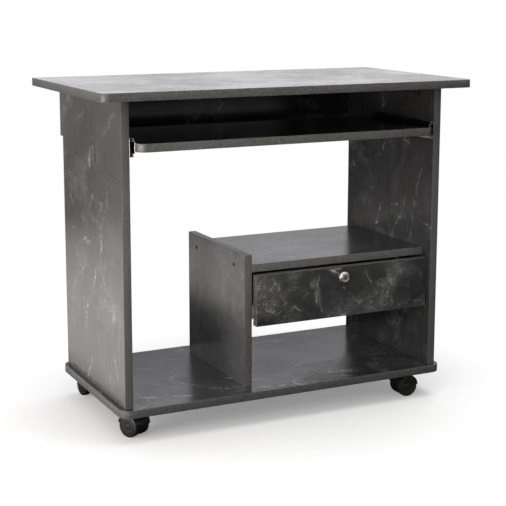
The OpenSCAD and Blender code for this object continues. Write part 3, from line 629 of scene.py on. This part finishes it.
def new_material(name, roughness=0.5, metallic=0.0):
    """A material with one Principled shader, its graph, the shader and Object coordinates."""
    made = bpy.data.materials.new(name)
    made.use_nodes = True
    g = Graph(made.node_tree)
    shader = made.node_tree.nodes["Principled BSDF"]
    shader.inputs["Roughness"].default_value = roughness
    shader.inputs["Metallic"].default_value = metallic
    return made, g, shader.inputs, g.node("ShaderNodeTexCoord").outputs["Object"]


def grey(v, warm=0.0):
    return (v * (1 + warm), v, v * (1 - warm), 1.0)


# ---- Laminate: the printed stone pattern ------------------------------------------------------

# Stone print: cloudy grey patches, hairline wandering veins and clusters of fine crackle.
g, i, o = new_group("stone_print", [
    ("Vector", "Vector", None), ("Grain", "Float", 1.0), ("Patch", "Float", 1.0),
    ("Vein", "Float", 1.0), ("Crackle", "Float", 1.0), ("Spread", "Float", 0.0)], [
    ("Shade", "Float"), ("Light", "Float"), ("Height", "Float")])
HALF = (0.5, 0.5, 0.5)
sheet = i["Vector"]
bend = g.vector("SUBTRACT", g.noise(sheet, 3.0, 3.0, 0.55, colour=True), HALF)
bent = g.vector("ADD", sheet, g.scaled(bend, 0.16))
fine_bend = g.vector("SUBTRACT", g.noise(sheet, 24.0, 4.0, 0.65, colour=True), HALF)
torn = g.vector("ADD", bent, g.scaled(fine_bend, 0.030))
ragged_bend = g.vector("SUBTRACT", g.noise(sheet, 130.0, 2.0, 0.6, colour=True), HALF)
ragged = g.vector("ADD", torn, g.scaled(ragged_bend, 0.009))
# Patches: large soft clouds, and streaks drawn out along the sheet's second axis
cloud = g.noise(bent, 5.0, 8.0, 0.66)
drawn = g.vector("MULTIPLY", torn, (60.0, 7.0, 9.0))
streak = g.noise(drawn, 1.0, 5.0, 0.65)
mottle = g.noise(ragged, 60.0, 6.0, 0.7)
shade = g.math("MULTIPLY_ADD", g.math("SUBTRACT", cloud, 0.5), 1.7, 0.45)
shade = g.math("MULTIPLY_ADD", g.math("SUBTRACT", mottle, 0.5), 0.9, shade)
shade = g.math("MULTIPLY_ADD", g.math("MULTIPLY", g.math("SUBTRACT", streak, 0.5), i["Grain"]),
               0.9, shade)
shade = g.math("MULTIPLY_ADD", g.math("SUBTRACT", shade, 0.5), i["Patch"], 0.5, clamp=True)
g.feed(o["Shade"], shade)
# Veins: the line where a slow noise passes its middle value, thinned and broken up
ridge = g.math("ABSOLUTE", g.math("SUBTRACT", g.noise(ragged, 2.6, 2.0, 0.5), 0.5))
thin = g.ramp(ridge, 0.0005, 0.0030, 1.0, 0.0)
halo = g.ramp(ridge, 0.0, 0.018, 0.16, 0.0)
broken = g.ramp(g.noise(torn, 11.0, 5.0, 0.7), 0.48, 0.70)
vein = g.math("MULTIPLY", g.math("MULTIPLY", g.math("ADD", thin, halo), broken), i["Vein"])
# Crackle: hairlines where a quick noise passes its middle, and cell edges, in clusters only
cluster = g.ramp(g.math("ADD", g.noise(bent, 7.0, 5.0, 0.65), i["Spread"]), 0.50, 0.72)
quick = g.math("ABSOLUTE", g.math("SUBTRACT", g.noise(ragged, 22.0, 5.0, 0.62), 0.5))
hairs = g.ramp(quick, 0.0, 0.012, 1.0, 0.0)
cells = g.ramp(g.cracks(ragged, 55.0), 0.0, 0.034, 0.75, 0.0)
small_cells = g.ramp(g.cracks(g.vector("ADD", ragged, (0.7, 0.3, 0.1)), 130.0),
                     0.0, 0.07, 0.45, 0.0)
worn = g.ramp(g.noise(ragged, 38.0, 5.0, 0.7), 0.42, 0.64)
crackle = g.math("ADD", g.math("ADD", hairs, cells), small_cells)
crackle = g.math("MULTIPLY", g.math("MULTIPLY", crackle, worn), cluster)
haze = g.math("MULTIPLY", g.math("MULTIPLY", cluster, mottle), 0.20)
light = g.math("MULTIPLY", g.math("ADD", crackle, haze), i["Crackle"])
g.feed(o["Light"], g.math("ADD", vein, light, clamp=True))
g.feed(o["Height"], g.noise(sheet, 900.0, 2.0, 0.5))
STONE_PRINT = g.tree

# One drawn vein: it starts at Start, runs Length along Angle and wanders off its line
g, i, o = new_group("drawn_vein", [
    ("Vector", "Vector", None), ("Start", "Vector", None), ("Angle", "Float", 0.0),
    ("Length", "Float", 0.1), ("Width", "Float", 0.001), ("Wander", "Float", 0.01),
    ("Strength", "Float", 1.0)], [("Light", "Float")])
turn = g.node("ShaderNodeVectorRotate", rotation_type="Z_AXIS")
g.feed(turn.inputs["Vector"], g.vector("SUBTRACT", i["Vector"], i["Start"]))
g.feed(turn.inputs["Angle"], g.math("MULTIPLY", i["Angle"], -1.0))
local = g.split(turn.outputs[0])
along, across = local[0], local[1]
slow = g.math("SUBTRACT", g.noise(i["Vector"], 13.0, 5.0, 0.68), 0.5)
quick = g.math("SUBTRACT", g.noise(i["Vector"], 95.0, 4.0, 0.7), 0.5)
across = g.math("MULTIPLY_ADD", slow, i["Wander"], across)
across = g.math("ABSOLUTE", g.math("MULTIPLY_ADD", quick, 0.006, across))
uneven = g.ramp(g.noise(i["Vector"], 75.0, 4.0, 0.7), 0.35, 0.7, 0.35, 1.7)
reach = g.math("DIVIDE", across, g.math("MULTIPLY", i["Width"], uneven))
core = g.ramp(reach, 0.2, 1.0, 1.0, 0.0)
glow = g.ramp(reach, 0.0, 9.0, 0.16, 0.0)
share = g.math("DIVIDE", along, i["Length"])
ends = g.math("MULTIPLY", g.ramp(share, 0.0, 0.35), g.ramp(share, 0.55, 1.0, 1.0, 0.0))
breaks = g.ramp(g.noise(i["Vector"], 48.0, 4.0, 0.65), 0.38, 0.60, 0.10, 1.0)
mask = g.math("MULTIPLY", g.math("MULTIPLY", g.math("ADD", core, glow), ends), breaks)
g.feed(o["Light"], g.math("MULTIPLY", mask, i["Strength"]))
DRAWN_VEIN = g.tree

SIDEWAYS = Matrix(((0, 1, 0), (0, 0, 1), (1, 0, 0)))      # side panels: sheet axes are y, z
UPRIGHT = Matrix(((1, 0, 0), (0, 0, 1), (0, -1, 0)))      # boards facing front: x, z


def laminate(name, lay, offset, dark, pale, veins=(), grain=1.0, patch=1.0, vein=1.0,
             crackle=1.0, roughness=0.16, white=0.34, warm=0.0, spread=0.0,
             specular=0.5, wave=0.10, matt=0.03):
    """Stone-print laminate on one board. lay turns the sheet onto the board, offset picks a part of
    the sheet, dark and pale are the print's two greys, set board by board, lighter where light falls
    and darker in shade, so that they carry painted light and shade as well as the print, and veins
    are drawn ones as (start u, start v, degrees, length, width, wander, strength) on the board's own
    axes. grain, patch, vein, crackle and spread go to the print. white is the grey of its veins,
    warm tints all three greys, specular is the strength of the gloss, wave its unevenness, and matt
    how much duller the print's dark parts are."""
    made, g, shader, place = new_material(name, roughness=roughness)
    turned_to = g.node("ShaderNodeMapping", vector_type="POINT")
    turned_to.inputs["Rotation"].default_value = lay.to_euler()
    g.feed(turned_to.inputs["Vector"], place)
    on_board = turned_to.outputs[0]
    sheet = g.vector("ADD", on_board, offset)
    stone = g.place(STONE_PRINT, Vector=sheet, Grain=grain, Patch=patch, Vein=vein,
                    Crackle=crackle, Spread=spread)
    light = stone["Light"]
    for u, v, degrees, length, width, wander, strength in veins:
        drawn = g.place(DRAWN_VEIN, Vector=on_board, Start=(u, v, 0.0),
                        Angle=math.radians(degrees), Length=length, Width=width, Wander=wander,
                        Strength=strength)
        light = g.math("MAXIMUM", light, drawn["Light"])
    base = g.mix(stone["Shade"], grey(dark, warm), grey(pale, warm))
    g.feed(shader["Base Color"], g.mix(light, base, grey(white, warm)))
    shader["Specular IOR Level"].default_value = specular
    g.feed(shader["Roughness"], g.ramp(stone["Shade"], 0.2, 0.8, roughness + matt,
                                       roughness - 0.03))
    g.feed(shader["Normal"], g.bump(stone["Height"], wave, 0.0002))
    return made


def set_material(material, *objects):
    """Gives each object this material and no other."""
    for made in objects:
        made.data.materials.clear()
        made.data.materials.append(material)


# The boards share one laminate, but its greys are set board by board as painted light and shade:
# lightest on the left panel and partition, which the light falls on, dark on the right panel and
# drawer front, and near-black on the bottom board, shelf, tray and modesty panel, in the shade
# inside the desk.
outer_veins = [
    (-0.044, 0.502, -104, 0.10, 0.0010, 0.05, 0.8), (-0.062, 0.468, -84, 0.11, 0.0012, 0.06, 1.0),
    (-0.045, 0.385, -56, 0.15, 0.0011, 0.07, 0.9), (0.030, 0.285, -72, 0.12, 0.0010, 0.05, 0.8),
    (0.156, 0.500, -140, 0.07, 0.0009, 0.04, 0.7), (0.110, 0.385, 170, 0.13, 0.0008, 0.07, 0.6),
    (-0.125, 0.195, -110, 0.09, 0.0012, 0.03, 0.9), (-0.165, 0.300, -88, 0.16, 0.0008, 0.05, 0.5),
    (0.005, 0.150, -58, 0.11, 0.0010, 0.04, 0.7), (0.000, 0.660, -106, 0.12, 0.0008, 0.05, 0.5),
    (0.070, 0.300, -100, 0.10, 0.0009, 0.05, 0.6), (-0.110, 0.560, -70, 0.14, 0.0008, 0.06, 0.5),
]
set_material(laminate("laminate_left_panel", SIDEWAYS, (1.3, 0.2, 0.4), 0.046, 0.112,
                      outer_veins, grain=1.6, patch=0.40, vein=0.45, crackle=0.5, white=0.55,
                      warm=0.02), NODE["side_panel_left"])
set_material(laminate("laminate_right_panel", SIDEWAYS, (3.7, 1.2, 2.4), 0.012, 0.046,
                      [(-0.10, 0.50, -60, 0.25, 0.0010, 0.06, 0.6),
                       (-0.16, 0.60, -75, 0.30, 0.0010, 0.08, 0.6)],
                      grain=0.8, vein=0.9, crackle=0.9, specular=0.2), NODE["side_panel_right"])
front_veins = [
    (0.100, 0.3385, -27, 0.048, 0.0022, 0.010, 1.0), (0.118, 0.331, 4, 0.030, 0.0016, 0.012, 0.9),
    (0.070, 0.330, -78, 0.100, 0.0150, 0.05, 0.22), (0.095, 0.325, -112, 0.045, 0.0012, 0.05, 0.8),
    (0.060, 0.318, -60, 0.040, 0.0011, 0.045, 0.7), (0.078, 0.292, -96, 0.060, 0.0013, 0.060, 0.9),
    (0.088, 0.262, -80, 0.040, 0.0010, 0.040, 0.6), (0.062, 0.290, -140, 0.035, 0.0009, 0.03, 0.6),
    (0.018, 0.258, -38, 0.032, 0.0014, 0.010, 0.9), (-0.071, 0.256, -8, 0.050, 0.0010, 0.016, 0.6),
    (0.152, 0.281, -42, 0.060, 0.0008, 0.015, 0.5), (0.000, 0.311, -26, 0.095, 0.0008, 0.02, 0.5),
    (0.201, 0.330, -64, 0.060, 0.0014, 0.030, 0.5), (0.275, 0.260, -70, 0.036, 0.0016, 0.016, 0.7),
    (0.318, 0.290, -68, 0.026, 0.0012, 0.010, 0.6), (-0.040, 0.240, 20, 0.040, 0.0012, 0.02, 0.5),
]
set_material(laminate("laminate_drawer_front", UPRIGHT, (0.4, 2.3, 1.1), 0.012, 0.044,
                      front_veins, grain=0.15, patch=1.3, vein=0.6, crackle=1.15,
                      roughness=0.30, white=0.30, spread=0.08), NODE["drawer_front"])
set_material(laminate("laminate_partition", SIDEWAYS, (5.2, 0.8, 3.1), 0.050, 0.130, grain=0.5,
                      patch=1.5, vein=0.6, crackle=0.5), NODE["partition"])
base_veins = [
    (-0.250, -0.090, -30, 0.06, 0.0014, 0.02, 0.8), (0.090, -0.165, -20, 0.10, 0.0016, 0.04, 0.8),
    (0.170, 0.180, -8, 0.16, 0.0018, 0.05, 0.7), (-0.200, 0.110, -5, 0.12, 0.0010, 0.04, 0.5),
    (0.120, -0.145, -12, 0.09, 0.0022, 0.03, 1.0), (0.150, -0.160, 12, 0.05, 0.0016, 0.02, 0.9),
    (0.110, -0.130, -35, 0.06, 0.0018, 0.03, 0.9), (0.060, 0.150, -4, 0.14, 0.0016, 0.03, 0.9),
    (-0.080, -0.170, -25, 0.05, 0.0018, 0.02, 0.8), (-0.030, -0.185, -12, 0.05, 0.0016, 0.02, 0.8),
    (-0.350, -0.120, -30, 0.08, 0.0018, 0.04, 0.9), (-0.280, -0.150, -15, 0.07, 0.002, 0.03, 0.9),
    (-0.180, -0.130, -28, 0.07, 0.0018, 0.03, 0.9), (-0.120, -0.060, -50, 0.06, 0.0016, 0.04, 0.8),
    (-0.300, 0.080, -20, 0.09, 0.0016, 0.04, 0.8), (-0.080, -0.120, -10, 0.06, 0.0016, 0.03, 0.9),
    (-0.330, 0.020, -40, 0.08, 0.0016, 0.04, 0.7), (0.280, -0.060, -20, 0.07, 0.0016, 0.03, 0.8),
]
set_material(laminate("laminate_bottom_board", Matrix.Identity(3), (2.2, 4.3, 0.3), 0.003, 0.030,
                      base_veins, grain=0.0, vein=0.9, crackle=0.7, white=0.50,
                      wave=0.50, matt=0.13), NODE["bottom_board"])
set_material(laminate("laminate_desktop", Matrix.Identity(3), (6.1, 1.7, 0.9), 0.006, 0.100,
                      [(-0.43, 0.05, 27, 0.32, 0.0014, 0.06, 0.7),
                       (-0.08, -0.01, -15, 0.28, 0.0012, 0.06, 0.6)],
                      grain=0.0, vein=1.1, crackle=0.9, white=0.60,
                      wave=0.30, matt=0.10), NODE["desktop"])
set_material(laminate("laminate_shelf", Matrix.Identity(3), (0.9, 6.3, 0.5), 0.003, 0.016,
                      grain=0.0, vein=0.5, crackle=0.4, wave=0.40, matt=0.09),
             NODE["shelf"])
set_material(laminate("laminate_tray", Matrix.Identity(3), (4.4, 3.9, 0.2), 0.003, 0.014,
                      grain=0.0, vein=0.8, crackle=0.6), NODE["keyboard_tray"])
set_material(laminate("laminate_modesty", UPRIGHT, (7.7, 0.4, 2.9), 0.003, 0.011, grain=0.1,
                      vein=0.6, crackle=0.5), NODE["modesty_panel"])

# ---- Edge banding finish ----------------------------------------------------------------------

# Speckle: coarse grey grains with fine darker and lighter points
g, i, o = new_group("speckle", [("Vector", "Vector", None), ("Scale", "Float", 500.0)],
                    [("Tone", "Float"), ("Height", "Float")])
coarse = g.noise(i["Vector"], i["Scale"], 3.0, 0.6)
fine = g.noise(i["Vector"], g.math("MULTIPLY", i["Scale"], 3.1), 2.0, 0.5)
drift = g.noise(i["Vector"], 12.0, 2.0, 0.5)
tone = g.math("MULTIPLY_ADD", g.math("SUBTRACT", fine, 0.5), 0.5, g.ramp(coarse, 0.32, 0.68))
tone = g.math("MULTIPLY_ADD", g.math("SUBTRACT", drift, 0.5), 0.4, tone, clamp=True)
g.feed(o["Tone"], tone)
g.feed(o["Height"], coarse)
SPECKLE = g.tree

edge_banding, g, shader, place = new_material("edge_banding", roughness=0.42)
grains = g.place(SPECKLE, Vector=place, Scale=420.0)
g.feed(shader["Base Color"], g.mix(grains["Tone"], (0.036, 0.035, 0.033, 1),
                                    (0.130, 0.126, 0.118, 1)))
g.feed(shader["Roughness"], g.ramp(grains["Tone"], 0.0, 1.0, 0.46, 0.38))
g.feed(shader["Normal"], g.bump(grains["Height"], 0.18, 0.0002))
set_material(edge_banding, frame_band, tray_band, drawer_band)

# ---- Metals, plastics and the drawer's boards -------------------------------------------------

# Scuff: slow stains and fine scratches drawn out along one axis
g, i, o = new_group("scuff", [("Vector", "Vector", None), ("Scale", "Float", 60.0)],
                    [("Stain", "Float"), ("Scratch", "Float")])
g.feed(o["Stain"], g.ramp(g.noise(i["Vector"], i["Scale"], 4.0, 0.6), 0.3, 0.7))
drawn = g.vector("MULTIPLY", i["Vector"], (30.0, 1.0, 30.0))
g.feed(o["Scratch"], g.ramp(g.noise(drawn, g.math("MULTIPLY", i["Scale"], 0.6), 3.0, 0.6), 0.35,
                            0.65))
SCUFF = g.tree


def metal(name, dark, pale, roughness, scale=60.0):
    """Plated or ground metal: slow stains between two tones, and fine scratches."""
    spread = 0.10
    made, g, shader, place = new_material(name, roughness=roughness, metallic=1.0)
    marks = g.place(SCUFF, Vector=place, Scale=scale)
    g.feed(shader["Base Color"], g.mix(marks["Stain"], dark, pale))
    rough = g.math("MULTIPLY_ADD", marks["Scratch"], spread, roughness - spread / 2)
    g.feed(shader["Roughness"], g.math("MULTIPLY_ADD", marks["Stain"], spread / 2, rough))
    g.feed(shader["Normal"], g.bump(marks["Scratch"], 0.06, 0.0001))
    return made


def moulded(name, dark, pale, roughness, scale=700.0, bump=0.12):
    """Moulded plastic: a fine spark-eroded skin, with slow changes of tone."""
    made, g, shader, place = new_material(name, roughness=roughness)
    skin = g.place(SPECKLE, Vector=place, Scale=scale)
    marks = g.place(SCUFF, Vector=place, Scale=25.0)
    g.feed(shader["Base Color"], g.mix(marks["Stain"], dark, pale))
    g.feed(shader["Roughness"], g.ramp(skin["Tone"], 0.0, 1.0, roughness + 0.05, roughness - 0.05))
    g.feed(shader["Normal"], g.bump(skin["Height"], bump, 0.0001))
    return made


def black_coat():
    """Slides: a thin black coat, bare on the sheared ends, which face along Y, and on the tracks
    that face up, where the balls run. The lower lip, below the tray board, gets the same bright
    bare-metal colour, which also serves as a painted highlight along the lip."""
    made, g, shader, place = new_material("slide_steel", roughness=0.30, metallic=1.0)
    marks = g.place(SCUFF, Vector=place, Scale=90.0)
    facing = g.split(g.node("ShaderNodeTexCoord").outputs["Normal"])
    bare_and_highlight = g.math("MAXIMUM", g.ramp(g.math("ABSOLUTE", facing[1]), 0.5, 0.8),
                  g.ramp(facing[2], 0.8, 0.95))
    height = g.split(place)
    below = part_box("keyboard_tray")[0].z
    # painted highlight: everything from 3 to 4 mm below the tray board's underside and lower gets
    # the bright bare-metal colour, for a bright line along the lower lip
    lip = g.ramp(height[2], below - 0.004, below - 0.003, 1.0, 0.0)
    bare_and_highlight = g.math("MAXIMUM", bare_and_highlight, lip)
    coat = g.mix(marks["Stain"], (0.030, 0.030, 0.031, 1), (0.060, 0.060, 0.061, 1))
    g.feed(shader["Base Color"], g.mix(bare_and_highlight, coat, (0.72, 0.71, 0.68, 1)))
    g.feed(shader["Roughness"], g.ramp(marks["Scratch"], 0.0, 1.0, 0.24, 0.36))
    g.feed(shader["Normal"], g.bump(marks["Scratch"], 0.05, 0.0001))
    return made


KEYWAY_SHADE = (0.0022, 0.0076)        # width and height of the painted shade on the keyway slot in the plug's face


def nickel_with_keyway_shade():
    """Lock plug: nickel with painted shade, near-black behind the plug's face and in a slot of the
    painted keyway's width and height in the middle of it, standing in for the shadow inside the bore
    and the keyway."""
    made, g, shader, place = new_material("lock_plug_nickel", roughness=0.24, metallic=1.0)
    marks = g.place(SCUFF, Vector=place, Scale=200.0)
    depth = g.split(place)
    lo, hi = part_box("lock_plug")
    across = g.math("ABSOLUTE", g.math("SUBTRACT", depth[0], (lo.x + hi.x) / 2))
    up = g.math("ABSOLUTE", g.math("SUBTRACT", depth[2], (lo.z + hi.z) / 2))
    # painted shade: a near-black slot in the middle of the plug's face, for the shadow in the keyway
    slot = g.math("MULTIPLY", g.ramp(across, KEYWAY_SHADE[0] / 2, KEYWAY_SHADE[0] / 2 + 0.0003, 1.0, 0.0),
                  g.ramp(up, KEYWAY_SHADE[1] / 2, KEYWAY_SHADE[1] / 2 + 0.0004, 1.0, 0.0))
    # painted shade: near-black also from 0.3 to 1.2 mm behind the plug's face and further back, for
    # the shadow in the bore
    painted_keyway_shade = g.math("MAXIMUM", slot, g.ramp(depth[1], lo.y + 0.0003, lo.y + 0.0012))
    shine = g.mix(marks["Stain"], (0.74, 0.70, 0.62, 1), (0.88, 0.84, 0.76, 1))
    g.feed(shader["Base Color"], g.mix(painted_keyway_shade, shine, (0.02, 0.018, 0.015, 1)))
    g.feed(shader["Roughness"], g.ramp(marks["Scratch"], 0.0, 1.0, 0.30, 0.42))
    return made


zinc = metal("zinc_plate", (0.22, 0.22, 0.23, 1), (0.36, 0.36, 0.37, 1), 0.34)
bright_steel = metal("ground_steel", (0.55, 0.55, 0.57, 1), (0.70, 0.70, 0.71, 1), 0.20)
nickel = metal("lock_nickel", (0.80, 0.77, 0.70, 1), (0.94, 0.91, 0.84, 1), 0.34, scale=200.0)
bronze = metal("lock_screw", (0.46, 0.38, 0.30, 1), (0.66, 0.56, 0.46, 1), 0.26, scale=300.0)
dark_steel = metal("dark_steel", (0.030, 0.030, 0.032, 1), (0.060, 0.060, 0.062, 1), 0.42)
capped = moulded("screw_caps", (0.016, 0.016, 0.016, 1), (0.028, 0.028, 0.027, 1), 0.5)
castor_plastic = moulded("castor_plastic", (0.012, 0.012, 0.012, 1), (0.022, 0.022, 0.021, 1),
                         0.42)
nylon = moulded("roller_nylon", (0.70, 0.70, 0.67, 1), (0.82, 0.82, 0.80, 1), 0.38)
enamel = moulded("rail_enamel", (0.60, 0.60, 0.57, 1), (0.72, 0.72, 0.70, 1), 0.30, 300.0, 0.05)
box_board = moulded("drawer_board", (0.020, 0.020, 0.021, 1), (0.036, 0.036, 0.037, 1), 0.45,
                    260.0)
base_board = moulded("drawer_base", (0.040, 0.038, 0.036, 1), (0.062, 0.060, 0.056, 1), 0.6,
                     180.0)

set_material(zinc, *(NODE[n] for n in NODE if n.startswith(("slide_cage", "castor_plate"))))
set_material(black_coat(), *SLIDES)
set_material(zinc, NODE["lock_cam"], *SCREW_SET)
set_material(dark_steel, NODE["angle_brackets"])
set_material(capped, confirmats)
set_material(bright_steel, NODE["slide_balls"], NODE["front_roller_pins"],
             NODE["rear_roller_pins"], *(NODE[f"castor_axle_{c}"] for c in CORNERS))
set_material(enamel, *(NODE[n] for n in NODE if "_rail_" in n))
set_material(nylon, NODE["front_rollers"], NODE["rear_rollers"])
set_material(box_board, NODE["drawer_side_left"], NODE["drawer_side_right"], NODE["drawer_back"])
set_material(base_board, NODE["drawer_bottom"])
set_material(nickel, lock_body)
set_material(nickel_with_keyway_shade(), NODE["lock_plug"])
set_material(bronze, lock_screw)
set_material(castor_plastic, *(bpy.data.objects[f"castor_housing_{c}"] for c in CORNERS),
             *(bpy.data.objects[f"castor_wheel_{c}_{w}"] for c in CORNERS for w in "ab"))

beech, g, shader, place = new_material("dowel_beech", roughness=0.6)
fleck = g.noise(g.vector("MULTIPLY", place, (400.0, 60.0, 400.0)), 1.0, 3.0, 0.6)
g.feed(shader["Base Color"], g.mix(g.ramp(fleck, 0.4, 0.6), (0.42, 0.27, 0.15, 1),
                                   (0.62, 0.46, 0.30, 1)))
set_material(beech, NODE["drawer_dowels"])

# ---- Floor and light --------------------------------------------------------------------------

WARM = (1.0, 0.955, 0.925)
FLOOR_R = 30.0
FLOOR_TINT = (1.0, 0.965, 0.94, 1)
FADE = (0.58, 1.35)      # distance over which the shaded floor fades into white
LEFT_GLOW = 1.05         # brightness of the lit floor left of the desk, in reflections only
GLOW_X = (-0.54, -0.43)  # where it starts, beside the left panel
GLOW_REACH = (0.9, 3.6)  # distance over which it fades
ring = np.linspace(0, 2 * np.pi, 64, endpoint=False)
floor_mesh = bpy.data.meshes.new("floor")
floor_mesh.from_pydata(np.stack([FLOOR_R * np.cos(ring), FLOOR_R * np.sin(ring),
                                 np.zeros(64)], 1).tolist(), [], [list(range(64))])
floor = bpy.data.objects.new("floor", floor_mesh)
bpy.context.scene.collection.objects.link(floor)

paper, g, shader, place = new_material("backdrop_paper", roughness=0.9)
distance = g.vector("LENGTH", place)
# Seen by the camera, the floor near the desk glows a quarter white over the lit paper, which
# lightens the shadows on it, and turns fully white past FADE.
far = g.ramp(distance, *FADE, 0.25, 1.0)
tone = g.noise(place, 40.0, 3.0, 0.5)
seen = g.node("ShaderNodeLightPath").outputs["Is Camera Ray"]
g.feed(shader["Base Color"], g.mix(g.ramp(tone, 0.3, 0.7), grey(0.84), grey(0.86)))
side = g.split(place)
on_left = g.math("MULTIPLY", g.ramp(side[0], *GLOW_X, 1.0, 0.0),
                 g.ramp(distance, *GLOW_REACH, LEFT_GLOW, 0.0))
glow = g.node("ShaderNodeEmission")
unseen = g.math("SUBTRACT", 1.0, seen)
g.feed(glow.inputs["Color"], g.mix(seen, FLOOR_TINT, (1, 1, 1, 1)))
g.feed(glow.inputs["Strength"], g.math("MULTIPLY_ADD", on_left, unseen, seen))
blend = g.node("ShaderNodeMixShader")
g.feed(blend.inputs[0], g.math("MAXIMUM", far, unseen))
g.feed(blend.inputs[1], g.tree.nodes["Principled BSDF"].outputs[0])
g.feed(blend.inputs[2], glow.outputs[0])
g.feed(g.tree.nodes["Material Output"].inputs[0], blend.outputs[0])
shader["Specular IOR Level"].default_value = 0.0
set_material(paper, floor)

ROOM = 0.60              # brightness of the room round the desk, which the camera sees as white
world = bpy.data.worlds.new("studio")
bpy.context.scene.world = world
world.use_nodes = True
g = Graph(world.node_tree)
background = world.node_tree.nodes["Background"]
seen = g.node("ShaderNodeLightPath").outputs["Is Camera Ray"]
g.feed(background.inputs["Color"], (1, 1, 1, 1))
g.feed(background.inputs["Strength"], g.math("MAXIMUM", seen, ROOM))

# A wall behind the desk, bright at the top and dark near the floor, seen in reflections only
WALL_Y = 2.2
WALL_TINT = (0.975, 0.965, 1.0, 1)
WALL_RISE = (0.35, 1.15)         # heights between which it turns from dark to bright
WALL_LIGHT = (0.0372, 1.209)     # its brightness below and above them
wall_mesh = bpy.data.meshes.new("wall")
wall_mesh.from_pydata([(-5, WALL_Y, 0.01), (5, WALL_Y, 0.01), (5, WALL_Y, 3), (-5, WALL_Y, 3)],
                      [], [(0, 1, 2, 3)])
wall = bpy.data.objects.new("wall", wall_mesh)
wall.visible_camera = False
bpy.context.scene.collection.objects.link(wall)
wall_glow, g, shader, place = new_material("wall_light")
height = g.split(place)
glow = g.node("ShaderNodeEmission")
glow.inputs["Color"].default_value = WALL_TINT
g.feed(glow.inputs["Strength"], g.ramp(height[2], *WALL_RISE, *WALL_LIGHT))
g.feed(g.tree.nodes["Material Output"].inputs[0], glow.outputs[0])
set_material(wall_glow, wall)
bpy.context.scene.view_settings.view_transform = "Standard"


def softbox(name, place, target, size, power, tint=(1.0, 1.0, 1.0), spread=180.0):
    """A square light of the given size that faces target and isn't seen itself. spread is how
    far its beam fans out, in degrees."""
    light = bpy.data.lights.new(name, "AREA")
    light.shape = "SQUARE"
    light.size = size
    light.energy = power
    light.spread = math.radians(spread)
    light.color = tint
    made = bpy.data.objects.new(name, light)
    made.location = place
    made.rotation_euler = (Vector(target) - Vector(place)).to_track_quat("-Z", "Y").to_euler()
    made.visible_camera = False
    bpy.context.scene.collection.objects.link(made)


# Lights: name, place, target, size, watts. The gridded one reaches in past the left panel.
softbox("overhead", (0.5, -0.1, 3.2), (0.0, 0.0, 0.3), 2.6, 80.0)
softbox("left_key", (-1.7, -0.45, 0.30), (-0.39, 0.0, 0.22), 0.9, 24.0, WARM)
softbox("left_grid", (-1.5, -1.15, 0.46), (0.39, 0.10, 0.49), 0.35, 0.55, WARM, 22.0)
softbox("front_high", (-1.6, -2.4, 1.9), (0.0, 0.0, 0.35), 1.2, 18.0, WARM)
